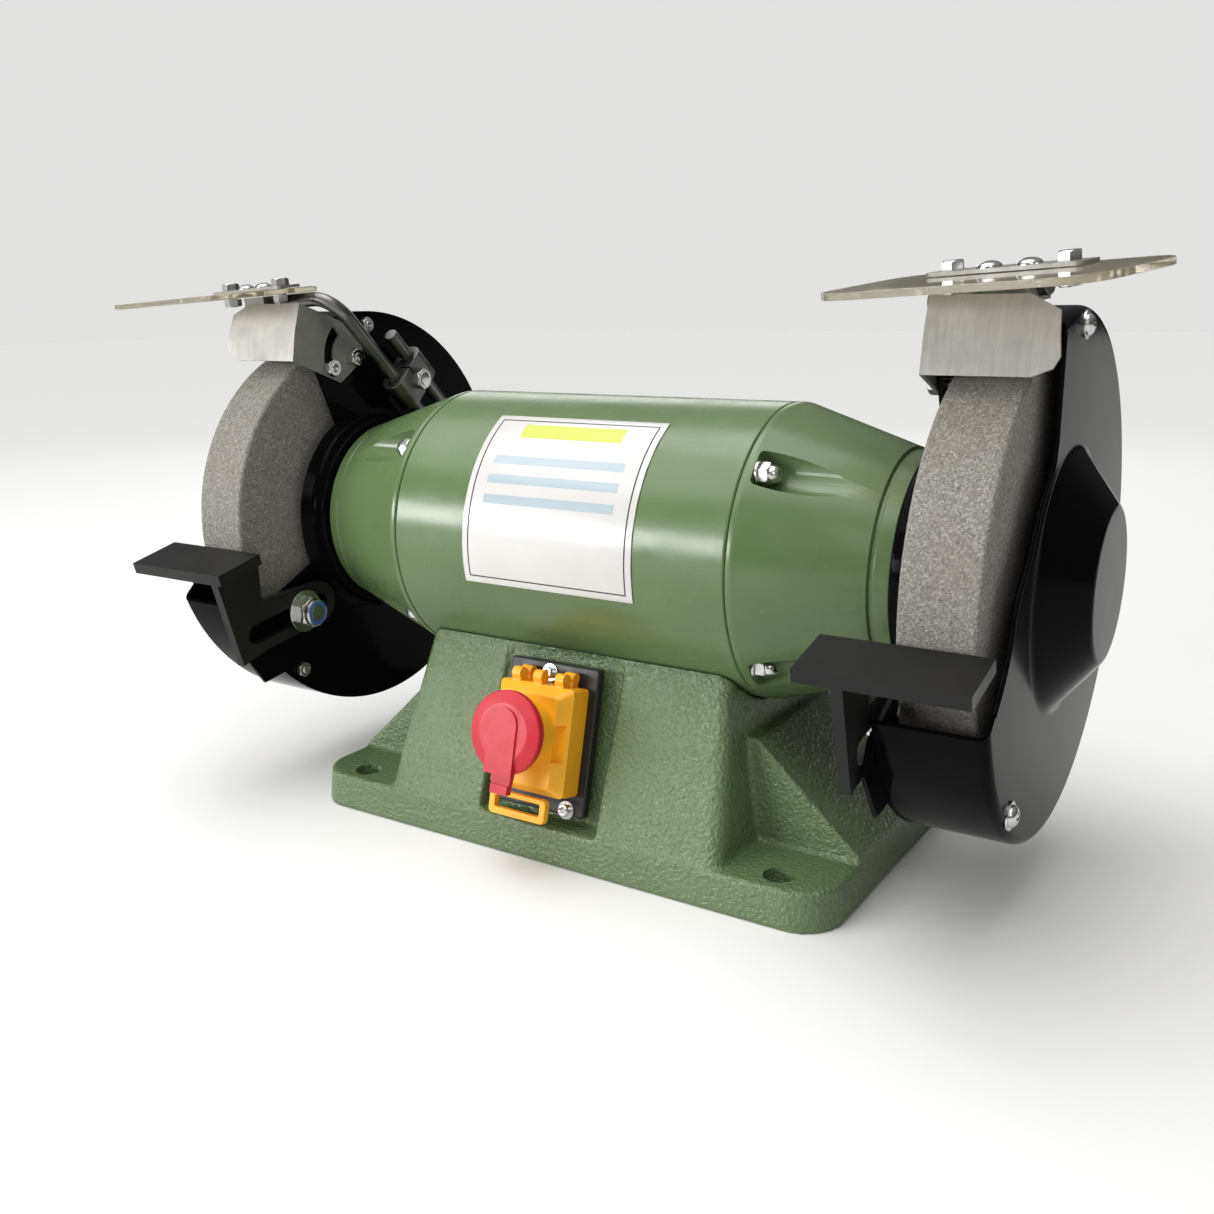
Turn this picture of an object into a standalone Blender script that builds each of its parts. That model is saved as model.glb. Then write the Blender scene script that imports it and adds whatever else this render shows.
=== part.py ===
"""Bench grinder with two 200 mm wheels, as an assembly of separate pieces.

Frame: X along the shaft (right positive), Y to the back (the operator stands at -Y), Z up.
Origin: middle of the base's underside. Units are metres; lengths are written as millimetres * mm.
"""

import math

import bmesh
import bpy
from mathutils import Matrix, Vector

mm = 0.001

# Driving dimensions
AXIS_Z = 154 * mm            # height of the shaft above the bench
GAP = 0.3 * mm               # gap between pieces that touch

WHEEL_R = 100 * mm
WHEEL_BORE_R = 16 * mm
WHEEL_IN, WHEEL_OUT = 186 * mm, 218 * mm      # the wheel's two faces, from the middle of the machine

BASE_HALF = (157 * mm, 88 * mm)
PLATE_T = 19 * mm
PLATE_CORNER_R = 22 * mm
BOLT_HOLE = (127 * mm, 73 * mm)
BOLT_HOLE_R = 6 * mm
PEDESTAL_FOOT = (102.5 * mm, 87 * mm)
PEDESTAL_HEAD = (90.8 * mm, 52.4 * mm)
PEDESTAL_TOP_Z = 112 * mm
RECESS_FLOOR_Z = 19.3 * mm
BUTTRESS_HALF = 44 * mm
BUTTRESS_TOP_Z = 71 * mm

HOUSING_R = 73 * mm
HOUSING_BORE_R = 69.5 * mm
STATOR_R = 62 * mm
CORE_HALF = 36 * mm
HOUSING_HALF = 97 * mm
BELL_END = 166 * mm
BELL_END_R = 52 * mm
TIE_R = 66 * mm              # radius of the circle of tie bolts
TIE_ANGLES = (43, 137, 223, 317)
TIE_SEAT = 102 * mm

GUARD_R = 117 * mm
GUARD_T = 2 * mm
GUARD_IN = 179 * mm          # motor side of the inner guard
COVER_OUT = 227 * mm
COVER_T = 1.5 * mm
HUB_R = (57 * mm, 34 * mm)
HUB_OUT = 245.5 * mm
COLLAR_R = 56 * mm

REST_BOLT = (-71 * mm, -48 * mm)     # y, z from the shaft axis
REST_TABLE = (70 * mm, 29.5 * mm, 6 * mm)
REST_TILT = math.radians(13.5)
REST_PLATE = (172 * mm, 177 * mm)
REST_INNER_END = {-1: 169 * mm, 1: 156 * mm}

PIVOT = (-13 * mm, 91 * mm)          # spark deflector: pivot bolt, y and z from the shaft axis
LOCK = (-32 * mm, 86 * mm)           # spark deflector: lock bolt at the slot's lower end
SHEET_T = 1.5 * mm

ROD_R = 4 * mm
ROD_X = 166 * mm
CLAMP_S = -38.9 * mm                 # place of the clamp along the rods
SHIELD_SIZE = (125 * mm, 72 * mm, 3 * mm)
SHIELD_CORNER_R = 17 * mm

SWITCH_AT = (-2.3 * mm, -68 * mm, 61.3 * mm)
SWITCH_TILT = math.radians(-14)


# ---------------------------------------------------------------- helpers

def clear_scene():
    for obj in list(bpy.data.objects):
        bpy.data.objects.remove(obj, do_unlink=True)


def finish(name, rgb, roughness, metallic):
    mat = bpy.data.materials.new(name)
    mat.use_nodes = True
    shader = mat.node_tree.nodes["Principled BSDF"]
    shader.inputs["Base Color"].default_value = (*rgb, 1.0)
    shader.inputs["Roughness"].default_value = roughness
    shader.inputs["Metallic"].default_value = metallic
    return mat


FINISHES = {
    "green_paint": ((0.12, 0.20, 0.08), 0.28, 0.0),
    "black_paint": ((0.008, 0.008, 0.009), 0.15, 0.0),
    "satin_black": ((0.012, 0.012, 0.012), 0.45, 0.0),
    "galvanised": ((0.42, 0.41, 0.39), 0.42, 1.0),
    "dark_steel": ((0.16, 0.155, 0.15), 0.38, 1.0),
    "zinc": ((0.62, 0.62, 0.60), 0.25, 1.0),
    "machined_steel": ((0.50, 0.50, 0.51), 0.30, 1.0),
    "abrasive": ((0.17, 0.165, 0.155), 0.95, 0.0),
    "lamination": ((0.12, 0.12, 0.125), 0.50, 1.0),
    "winding": ((0.42, 0.14, 0.05), 0.40, 0.3),
    "clear_plastic": ((0.86, 0.84, 0.80), 0.08, 0.0),
    "label": ((0.80, 0.80, 0.78), 0.25, 0.0),
    "yellow_plastic": ((0.90, 0.36, 0.02), 0.35, 0.0),
    "red_plastic": ((0.70, 0.015, 0.03), 0.35, 0.0),
    "green_plastic": ((0.02, 0.30, 0.08), 0.35, 0.0),
    "black_plastic": ((0.015, 0.015, 0.016), 0.45, 0.0),
    "can": ((0.55, 0.55, 0.56), 0.30, 1.0),
}


def put(name, bm, look, pivot=None, parent=None):
    """Make a named object from world-space geometry, its origin at pivot and its own material."""
    bmesh.ops.recalc_face_normals(bm, faces=bm.faces[:])
    origin = Vector(pivot or (0, 0, 0))
    bmesh.ops.translate(bm, verts=bm.verts[:], vec=-origin)
    mesh = bpy.data.meshes.new(name)
    bm.to_mesh(mesh)
    bm.free()
    mesh.materials.append(finish(name + "_" + look, *FINISHES[look]))
    mesh.shade_smooth()
    mesh.set_sharp_from_angle(angle=math.radians(35))
    obj = bpy.data.objects.new(name, mesh)
    bpy.context.collection.objects.link(obj)
    obj.location = origin
    if parent is not None:
        bpy.context.view_layer.update()
        obj.parent = parent
        obj.matrix_parent_inverse = parent.matrix_world.inverted()
    return obj


def axis_empty(name, at):
    empty = bpy.data.objects.new(name, None)
    bpy.context.collection.objects.link(empty)
    empty.location = at
    empty.empty_display_size = 0.02
    bpy.context.view_layer.update()
    return empty


def tool(obj, bm, operation):
    """Use a piece of geometry as a Boolean tool on obj."""
    index = len(obj.modifiers) + 1
    name = f"tool_{obj.name}_{index}"
    bmesh.ops.recalc_face_normals(bm, faces=bm.faces[:])
    mesh = bpy.data.meshes.new(name)
    bm.to_mesh(mesh)
    bm.free()
    cutter = bpy.data.objects.new(name, mesh)
    bpy.context.collection.objects.link(cutter)
    cutter.hide_render = True
    cutter.display_type = "WIRE"
    modifier = obj.modifiers.new(name, "BOOLEAN")
    modifier.operation = operation
    modifier.solver = "EXACT"
    modifier.object = cutter


def cut(obj, bm):
    tool(obj, bm, "DIFFERENCE")


def join(obj, bm):
    tool(obj, bm, "UNION")


def loft(sections):
    """Closed solid through sections of equally many 3D points, with flat ends."""
    bm = bmesh.new()
    rings = [[bm.verts.new(p) for p in section] for section in sections]
    count = len(rings[0])
    for a, b in zip(rings, rings[1:]):
        for i in range(count):
            j = (i + 1) % count
            bm.faces.new((a[i], a[j], b[j], b[i]))
    bm.faces.new(rings[0])
    bm.faces.new(rings[-1])
    return bm


def prism(outline, axis, low, high):
    """Extrude a flat outline along x (outline in y, z), y (x, z) or z (x, y)."""
    def place(p, h):
        return {"x": (h, p[0], p[1]), "y": (p[0], h, p[1]), "z": (p[0], p[1], h)}[axis]
    return loft([[place(p, h) for p in outline] for h in (low, high)])


def turned(profile, sides, centre=(0.0, AXIS_Z), axis="x"):
    """Turn a closed loop of (along, radius) about an axis parallel to x or y; radius 0 closes on it."""
    bm = bmesh.new()
    def place(a, r, angle):
        u, v = r * math.cos(angle), r * math.sin(angle)
        if axis == "x":
            return (a, centre[0] + u, centre[1] + v)
        return (centre[0] + u, a, centre[1] + v)
    rings = []
    for a, r in profile:
        if r == 0:
            rings.append([bm.verts.new(place(a, 0, 0))])
        else:
            rings.append([bm.verts.new(place(a, r, 2 * math.pi * k / sides)) for k in range(sides)])
    pairs = list(zip(rings, rings[1:] + rings[:1]))
    for a, b in pairs:
        for k in range(sides):
            n = (k + 1) % sides
            if len(a) == 1 and len(b) == 1:
                break
            if len(a) == 1:
                bm.faces.new((a[0], b[k], b[n]))
            elif len(b) == 1:
                bm.faces.new((a[k], a[n], b[0]))
            else:
                bm.faces.new((a[k], a[n], b[n], b[k]))
    return bm


def rod(along_low, along_high, radius, sides, centre, axis="x"):
    profile = [(along_low, 0), (along_low, radius), (along_high, radius), (along_high, 0)]
    return turned(profile, sides, centre, axis)


def arc(centre, radius, start, end, steps):
    """Points of an arc, angles in degrees."""
    points = []
    for k in range(steps + 1):
        angle = math.radians(start + (end - start) * k / steps)
        points.append((centre[0] + radius * math.cos(angle), centre[1] + radius * math.sin(angle)))
    return points


def rounded_rect(half_u, half_v, radius, steps=4):
    points = []
    for corner, (su, sv) in enumerate(((1, 1), (-1, 1), (-1, -1), (1, -1))):
        centre = (su * (half_u - radius), sv * (half_v - radius))
        points += arc(centre, radius, 90 * corner, 90 * corner + 90, steps)
    return points


def box(x0, x1, y0, y1, z0, z1):
    return prism([(x0, y0), (x1, y0), (x1, y1), (x0, y1)], "z", z0, z1)


def smooth_path(corners, bend_radius, steps=5):
    """Points along straight runs with an arc at each inner corner."""
    points = [Vector(corners[0])]
    for before, here, after in zip(corners, corners[1:], corners[2:]):
        here = Vector(here)
        into = (Vector(before) - here).normalized()
        out = (Vector(after) - here).normalized()
        half = into.angle(out) / 2
        reach = bend_radius / math.tan(half)
        middle = here + (into + out).normalized() * bend_radius / math.sin(half)
        start = here + into * reach - middle
        end = here + out * reach - middle
        turn = start.angle(end)
        for k in range(steps + 1):
            f = k / steps
            spoke = start * math.sin((1 - f) * turn) + end * math.sin(f * turn)
            points.append(middle + spoke / math.sin(turn))
    points.append(Vector(corners[-1]))
    return points


def tube(points, radius, sides=12):
    """Round bar along a path; each ring is carried from the one before without twist."""
    points = [Vector(p) for p in points]
    tangents = []
    for k in range(len(points)):
        before = points[max(k - 1, 0)]
        after = points[min(k + 1, len(points) - 1)]
        tangents.append((after - before).normalized())
    side = tangents[0].orthogonal().normalized()
    sections = []
    for point, tangent in zip(points, tangents):
        side = (side - tangent * side.dot(tangent)).normalized()
        other = tangent.cross(side)
        sections.append([point + radius * (math.cos(a) * side + math.sin(a) * other)
                         for a in (2 * math.pi * k / sides for k in range(sides))])
    return loft(sections)


def moved(bm, matrix):
    bmesh.ops.transform(bm, matrix=matrix, verts=bm.verts[:])
    return bm


def mirrored(bm, side):
    if side < 0:
        bmesh.ops.scale(bm, vec=(-1, 1, 1), verts=bm.verts[:])
        bmesh.ops.reverse_faces(bm, faces=bm.faces[:])
    return bm


def from_axis(points):
    """Outline points given from the shaft axis, moved to the world's y and z."""
    return [(y, AXIS_Z + z) for y, z in points]


# ---------------------------------------------------------------- base

def switch_matrix():
    return Matrix.Translation(SWITCH_AT) @ Matrix.Rotation(SWITCH_TILT, 4, "X")


def base_casting():
    def ring(half, radius, z, steps=4):
        return [(x, y, z) for x, y in rounded_rect(half[0], half[1], radius, steps)]
    draft = 1.5 * mm
    plate = loft([ring(BASE_HALF, PLATE_CORNER_R, 0),
                  ring((BASE_HALF[0] - draft, BASE_HALF[1] - draft), PLATE_CORNER_R, PLATE_T)])
    casting = put("base_casting", plate, "green_paint")
    pedestal = loft([ring(PEDESTAL_FOOT, 8 * mm, PLATE_T - 4 * mm, 3),
                     ring(PEDESTAL_HEAD, 6 * mm, PEDESTAL_TOP_Z, 3)])
    join(casting, pedestal)
    end_z = PLATE_T + 2 * mm
    buttress = [(-155 * mm, 10 * mm), (155 * mm, 10 * mm), (155 * mm, end_z),
                (101 * mm, BUTTRESS_TOP_Z), (-101 * mm, BUTTRESS_TOP_Z), (-155 * mm, end_z)]
    join(casting, prism(buttress, "y", -BUTTRESS_HALF, BUTTRESS_HALF))
    cavity = loft([ring((96.5 * mm, 73.5 * mm), 6 * mm, -1 * mm, 2),
                   ring((87.5 * mm, 54 * mm), 6 * mm, 73 * mm, 2)])
    cut(casting, cavity)
    for side in (-1, 1):
        wing = [(99 * mm, -1 * mm), (147 * mm, -1 * mm), (147 * mm, 11 * mm), (99 * mm, 58 * mm)]
        cut(casting, mirrored(prism(wing, "y", -37 * mm, 37 * mm), side))
    cut(casting, rod(-120 * mm, 120 * mm, HOUSING_R + 1.2 * GAP, 48, (0, AXIS_Z)))
    for x in (-BOLT_HOLE[0], BOLT_HOLE[0]):
        for y in (-BOLT_HOLE[1], BOLT_HOLE[1]):
            outline = arc((x, y), BOLT_HOLE_R, 0, 345, 23)
            cut(casting, prism(outline, "z", -1 * mm, 25 * mm))
    frame = switch_matrix()
    recess = prism(rounded_rect(36 * mm, 42.5 * mm, 6 * mm, 3), "y", -45 * mm, 5.3 * mm)
    cut(casting, moved(recess, frame @ Matrix.Translation((0, 0, 0.5 * mm))))
    cut(casting, box(-38.3 * mm, 33.7 * mm, -100 * mm, -72 * mm, RECESS_FLOOR_Z, 40 * mm))
    window = box(-19 * mm, 19 * mm, 4 * mm, 32 * mm, -22 * mm, 22 * mm)
    cut(casting, moved(window, frame))
    gland_hole = rod(60 * mm, 90 * mm, 7 * mm + GAP, 20, (60 * mm, 38 * mm), "y")
    cut(casting, gland_hole)
    gland_seat = rod(76 * mm, 100 * mm, 13 * mm, 20, (60 * mm, 38 * mm), "y")
    cut(casting, gland_seat)


def base_inside():
    cover = prism(rounded_rect(95 * mm, 71.8 * mm, 5 * mm, 2), "z", 0, 1.6 * mm)
    put("base_cover", cover, "galvanised")
    capacitor_r = 22 * mm
    centre = (25 * mm, 1.6 * mm + GAP + capacitor_r)
    profile = [(-45 * mm, 0), (-45 * mm, 20 * mm), (-43 * mm, capacitor_r), (43 * mm, capacitor_r),
               (45 * mm, 20 * mm), (45 * mm, 8 * mm), (51 * mm, 8 * mm), (51 * mm, 0)]
    put("capacitor", turned(profile, 24, centre), "can")
    gland = [(62 * mm, 3.2 * mm), (62 * mm, 7 * mm), (76.3 * mm, 7 * mm), (76.3 * mm, 11.5 * mm),
             (83 * mm, 11.5 * mm), (84 * mm, 9.5 * mm), (90 * mm, 9.5 * mm),
             (93 * mm, 6 * mm), (93 * mm, 3.2 * mm)]
    put("cable_gland", turned(gland, 20, (60 * mm, 38 * mm), "y"), "black_plastic")


# ---------------------------------------------------------------- motor

def tie_places():
    turns = [math.radians(angle) for angle in TIE_ANGLES]
    return [(TIE_R * math.cos(a), AXIS_Z + TIE_R * math.sin(a)) for a in turns]


def motor_housing():
    profile = [(-HOUSING_HALF, HOUSING_BORE_R), (-HOUSING_HALF, HOUSING_R),
               (HOUSING_HALF, HOUSING_R), (HOUSING_HALF, HOUSING_BORE_R)]
    housing = put("motor_housing", turned(profile, 48), "green_paint")
    for quarter in range(4):
        rib = box(-60 * mm, 60 * mm, -7 * mm, 7 * mm, STATOR_R + GAP, HOUSING_BORE_R + 1 * mm)
        turn = Matrix.Translation((0, 0, AXIS_Z)) @ Matrix.Rotation(math.radians(90 * quarter), 4, "X")
        join(housing, moved(rib, turn))


def tie_bolts():
    seat = TIE_SEAT + GAP
    half = [(seat, 2.5 * mm), (seat, 6.5 * mm), (seat + 1.2 * mm, 6.5 * mm), (seat + 1.2 * mm, 5.5 * mm),
            (seat + 6 * mm, 5.5 * mm), (seat + 6 * mm, 4.5 * mm),
            (seat + 9.5 * mm, 3.5 * mm), (seat + 11 * mm, 0)]
    profile = [(-x, r) for x, r in reversed(half)] + half
    for name, place in zip(("back_top", "front_top", "front_bottom", "back_bottom"), tie_places()):
        put(f"tie_bolt_{name}", turned(profile, 10, place), "zinc")


def end_bell(side, word):
    profile = [(97.3 * mm, 56.5 * mm), (97.3 * mm, HOUSING_R), (100 * mm, HOUSING_R), (157 * mm, 54.6 * mm),
               (158 * mm, 52.8 * mm), (BELL_END, BELL_END_R), (BELL_END, 12.5 * mm), (163.3 * mm, 12.5 * mm),
               (163.3 * mm, 23.8 * mm), (148 * mm, 23.8 * mm), (148 * mm, 30 * mm), (158 * mm, 30 * mm),
               (158 * mm, 40 * mm), (148 * mm, 48 * mm)]
    bell = put(f"{word}_end_bell", mirrored(turned(profile, 48), side), "green_paint")
    scallop_r = 9.5 * mm
    scallop_at = 68.5 * mm
    for angle in TIE_ANGLES:
        c, s = math.cos(math.radians(angle)), math.sin(math.radians(angle))
        place = (scallop_at * c, AXIS_Z + scallop_at * s)
        cut(bell, mirrored(rod(TIE_SEAT, 150 * mm, scallop_r, 20, place), side))
    for place in tie_places():
        cut(bell, mirrored(rod(90 * mm, 110 * mm, 2.9 * mm, 12, place), side))


def bearing(side, word):
    profile = [(149 * mm, 10.3 * mm), (149 * mm, 23.5 * mm), (163 * mm, 23.5 * mm), (163 * mm, 10.3 * mm)]
    put(f"{word}_bearing", mirrored(turned(profile, 24), side), "machined_steel")


def stator():
    core = [(-CORE_HALF, 36 * mm), (-CORE_HALF, STATOR_R), (CORE_HALF, STATOR_R), (CORE_HALF, 36 * mm)]
    put("stator_core", turned(core, 36), "lamination")
    for side, word in ((-1, "left"), (1, "right")):
        near, far = CORE_HALF + GAP, CORE_HALF + 24 * mm
        coil = [(near, 39 * mm), (near, 55 * mm), (near + 4 * mm, 57 * mm), (far - 4 * mm, 57 * mm),
                (far, 53 * mm), (far, 43 * mm), (far - 4 * mm, 39 * mm)]
        put(f"{word}_stator_winding", mirrored(turned(coil, 32), side), "winding")


def rotor(spin):
    half = [(75 * mm, 12 * mm), (75 * mm, 11 * mm), (148.7 * mm, 11 * mm), (148.7 * mm, 10 * mm),
            (176 * mm, 10 * mm), (176 * mm, 8 * mm), (238 * mm, 8 * mm),
            (239.5 * mm, 6.5 * mm), (239.5 * mm, 0)]
    profile = [(-x, r) for x, r in reversed(half)] + half
    put("shaft", turned(profile, 24), "machined_steel", spin.location, spin)
    bore = 12 * mm + GAP
    core = [(-CORE_HALF, bore), (-CORE_HALF, 35.4 * mm), (CORE_HALF, 35.4 * mm), (CORE_HALF, bore)]
    put("rotor_core", turned(core, 36), "lamination", spin.location, spin)


def wheel_set(side, word, spin):
    def place(name, profile, sides, look):
        put(f"{word}_{name}", mirrored(turned(profile, sides), side), look, spin.location, spin)
    edge = 1.5 * mm
    bore = WHEEL_BORE_R
    wheel = [(WHEEL_IN, bore), (WHEEL_IN, WHEEL_R - edge), (WHEEL_IN + edge, WHEEL_R),
             (WHEEL_OUT - edge, WHEEL_R), (WHEEL_OUT, WHEEL_R - edge), (WHEEL_OUT, bore)]
    place("wheel", wheel, 48, "abrasive")
    hub_r = bore - GAP
    hole_r = 8.3 * mm
    middle = (WHEEL_IN + WHEEL_OUT) / 2
    inner = [(176.3 * mm, hole_r), (176.3 * mm, 14 * mm), (180 * mm, 14 * mm), (181 * mm, 40 * mm),
             (WHEEL_IN - GAP, 40 * mm), (WHEEL_IN - GAP, hub_r),
             (middle - GAP, hub_r), (middle - GAP, hole_r)]
    place("inner_flange", inner, 32, "machined_steel")
    outer = [(middle, hole_r), (middle, hub_r), (WHEEL_OUT + GAP, hub_r), (WHEEL_OUT + GAP, 40 * mm),
             (222 * mm, 40 * mm), (224 * mm, 36 * mm), (224 * mm, hole_r)]
    place("outer_flange", outer, 32, "machined_steel")
    nut_face, nut_end = 224.3 * mm, 236 * mm
    nut = mirrored(rod(nut_face, nut_end, 13.5 * mm, 6, (0, AXIS_Z)), side)
    hexagon = put(f"{word}_wheel_nut", nut, "zinc", spin.location, spin)
    cut(hexagon, mirrored(rod(nut_face - 5 * mm, nut_end + 5 * mm, hole_r, 24, (0, AXIS_Z)), side))


# ---------------------------------------------------------------- guards

def guard_arc(start, end, steps, radius=GUARD_R):
    """Edge of a guard from a front angle over the back to another front angle."""
    return [(-radius * math.sin(math.radians(a)), radius * math.cos(math.radians(a)))
            for a in (start + (end - start) * k / steps for k in range(steps + 1))]


def inner_guard(side, word):
    outline = guard_arc(25, -225, 38)
    outline += [(-97 * mm, -85 * mm), (-113 * mm, -62 * mm), (-107 * mm, -48 * mm),
                (-50 * mm, -22 * mm), (-25 * mm, 46 * mm)]
    plate = prism(from_axis(outline), "x", GUARD_IN, GUARD_IN + GUARD_T)
    guard = put(f"{word}_inner_guard", mirrored(plate, side), "black_paint")
    collar_in = BELL_END + GAP
    collar = [(collar_in, 44 * mm), (collar_in, COLLAR_R - 2 * mm), (collar_in + 2 * mm, COLLAR_R),
              (GUARD_IN + 1.4 * mm, COLLAR_R), (GUARD_IN + 1.4 * mm, 44 * mm)]
    join(guard, mirrored(turned(collar, 48), side))
    cut(guard, mirrored(rod(160 * mm, 190 * mm, 43 * mm, 40, (0, AXIS_Z)), side))
    for (y, z), radius in ((REST_BOLT, 5.4 * mm), (PIVOT, 3.4 * mm), (LOCK, 3.4 * mm)):
        cut(guard, mirrored(rod(170 * mm, 190 * mm, radius, 12, (y, AXIS_Z + z)), side))


COVER_EDGE = [(-110 * mm, -40 * mm), (-94 * mm, -24 * mm), (-84 * mm, -8 * mm), (-79 * mm, 6 * mm),
              (-65 * mm, 21 * mm), (-50 * mm, 42 * mm), (-37 * mm, 52 * mm), (-33 * mm, 64 * mm)]


def outer_cover(side, word):
    start, end = 16.5, -250
    outside = guard_arc(start, end, 44) + COVER_EDGE
    near = GUARD_IN + GUARD_T + GAP
    shell = prism(from_axis(outside), "x", near, COVER_OUT)
    cover = put(f"{word}_outer_cover", mirrored(shell, side), "black_paint")
    hub = [(COVER_OUT - 1 * mm, 0), (COVER_OUT - 1 * mm, HUB_R[0]), (COVER_OUT, HUB_R[0]),
           (HUB_OUT - 1 * mm, HUB_R[1]), (HUB_OUT, HUB_R[1] - 2 * mm), (HUB_OUT, 0)]
    join(cover, mirrored(turned(hub, 32), side))
    inner_r = GUARD_R - COVER_T
    inside = rod(near - 5 * mm, COVER_OUT - COVER_T, inner_r, 60, (0, AXIS_Z))
    cut(cover, mirrored(inside, side))
    hollow = [(COVER_OUT - 4 * mm, 0), (COVER_OUT - 4 * mm, HUB_R[0] - 1.5 * mm),
              (COVER_OUT - COVER_T, HUB_R[0] - 1.5 * mm), (HUB_OUT - COVER_T, HUB_R[1] - 3 * mm),
              (HUB_OUT - COVER_T, 0)]
    cut(cover, mirrored(turned(hollow, 32), side))


# ---------------------------------------------------------------- tool rests

def rest_direction():
    """Way along the rest's slot, from its back end to its front end."""
    return Vector((-37, -6)).normalized()


def tool_rest(side, word):
    width, depth, thick = REST_TABLE
    back = Vector((-102.5 * mm, -9 * mm))
    along = Vector((-math.cos(REST_TILT), -math.sin(REST_TILT)))
    down = Vector((math.sin(REST_TILT), -math.cos(REST_TILT)))
    front = back + along * depth
    section = [tuple(p) for p in (back, front, front + down * thick, back + down * thick)]
    start = REST_INNER_END[side]
    table = prism(from_axis(section), "x", start, start + width)
    rest = put(f"{word}_tool_rest", mirrored(table, side), "satin_black")
    slot_back = Vector(REST_BOLT) - rest_direction() * 13 * mm
    under = back + down * (thick - 1 * mm)
    under_front = front + down * (thick - 1 * mm)
    outline = [tuple(under_front), tuple(under), (-101 * mm, -36 * mm), (-60 * mm, -34 * mm)]
    outline += arc(slot_back, 12 * mm, 80, -100, 8)
    outline += [(-100 * mm, -64 * mm), (-117 * mm, -69 * mm)]
    join(rest, mirrored(prism(from_axis(outline), "x", *REST_PLATE), side))
    slot_half = 5.5 * mm
    slot_front = Vector(REST_BOLT) + rest_direction() * 36 * mm
    slot = arc(slot_back, slot_half, 99 - 180, 99, 8) + arc(slot_front, slot_half, 99, 99 + 180, 8)
    cut(rest, mirrored(prism(from_axis(slot), "x", 165 * mm, 185 * mm), side))


def rest_bolt(side, word):
    y, z = REST_BOLT
    near, far = REST_PLATE[0] - GAP, GUARD_IN + GUARD_T + GAP
    profile = [(160.5 * mm, 0), (160.5 * mm, 5 * mm), (162.5 * mm, 5 * mm), (162.5 * mm, 9 * mm),
               (170 * mm, 9 * mm), (170 * mm, 12 * mm), (near, 12 * mm), (near, 5 * mm),
               (far, 5 * mm), (far, 9 * mm), (far + 2.4 * mm, 7 * mm), (far + 2.4 * mm, 0)]
    put(f"{word}_rest_bolt", mirrored(turned(profile, 12, (y, AXIS_Z + z)), side), "zinc")


# ---------------------------------------------------------------- spark deflectors

def spark_deflector(side, word):
    flange_x = GUARD_IN - GAP - SHEET_T
    outer_x = 230 * mm
    profile = [(-52 * mm, 122 * mm), (-57 * mm, 107 * mm), (-60 * mm, 91 * mm)]
    flange = [profile[0], profile[1], profile[2], (-24 * mm, 77 * mm), (-3.5 * mm, 90 * mm),
              (-8 * mm, 103 * mm), (-22 * mm, 112 * mm)]
    bm = bmesh.new()
    def vert(x, point):
        return bm.verts.new((side * x, point[0], AXIS_Z + point[1]))
    near = [vert(flange_x, p) for p in flange]
    bm.faces.new(near)
    def between(a, b, share):
        return tuple(u + (v - u) * share for u, v in zip(profile[a], profile[b]))
    top = vert(outer_x - 13 * mm, profile[0])
    shoulder = vert(outer_x - 1 * mm, between(0, 1, 0.4))
    crease = vert(outer_x, profile[1])
    low = [vert(outer_x + 1 * mm, between(1, 2, 0.5)), vert(outer_x - 1.5 * mm, between(1, 2, 0.8)),
           vert(outer_x - 9 * mm, profile[2])]
    bm.faces.new((near[0], near[1], crease, shoulder, top))
    bm.faces.new((near[1], near[2], low[2], low[1], low[0], crease))
    bmesh.ops.recalc_face_normals(bm, faces=bm.faces[:])
    sheet = solid_sheet(bm, SHEET_T, Vector((side * 200 * mm, -20 * mm, AXIS_Z + 60 * mm)))
    pivot = (side * 177 * mm, PIVOT[0], AXIS_Z + PIVOT[1])
    deflector = put(f"{word}_spark_deflector", sheet, "galvanised", pivot)
    arm = math.dist(PIVOT, LOCK)
    lock_angle = math.degrees(math.atan2(LOCK[1] - PIVOT[1], LOCK[0] - PIVOT[0])) % 360
    half = 3.4 * mm
    slot = arc(PIVOT, arm + half, 128, lock_angle, 8)
    slot += arc(LOCK, half, lock_angle, lock_angle + 180, 4)[1:-1]
    slot += arc(PIVOT, arm - half, lock_angle, 128, 8)
    cut(deflector, mirrored(prism(from_axis(slot), "x", 170 * mm, 185 * mm), side))
    cut(deflector, mirrored(rod(170 * mm, 185 * mm, 3.4 * mm, 12, (PIVOT[0], AXIS_Z + PIVOT[1])), side))


def solid_sheet(bm, thickness, towards):
    """Thicken a bent sheet towards a point; the given surface stays the outer one."""
    normals = {}
    for vert in bm.verts:
        planes = []
        for face in vert.link_faces:
            normal = face.normal.copy()
            if normal.dot(towards - face.calc_center_median()) < 0:
                normal.negate()
            if all(normal.dot(other) < 0.9999 for other in planes):
                planes.append(normal)
        shift = Vector()
        for _ in range(60):
            for normal in planes:
                shift += normal * (thickness - shift.dot(normal))
        normals[vert] = shift
    faces = [list(face.verts) for face in bm.faces]
    edges = [edge for edge in bm.edges if len(edge.link_faces) == 1]
    copies = {vert: bm.verts.new(vert.co + normals[vert]) for vert in list(bm.verts)}
    for face in faces:
        bm.faces.new([copies[v] for v in reversed(face)])
    for edge in edges:
        a, b = edge.verts
        bm.faces.new((a, b, copies[b], copies[a]))
    return bm


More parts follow.
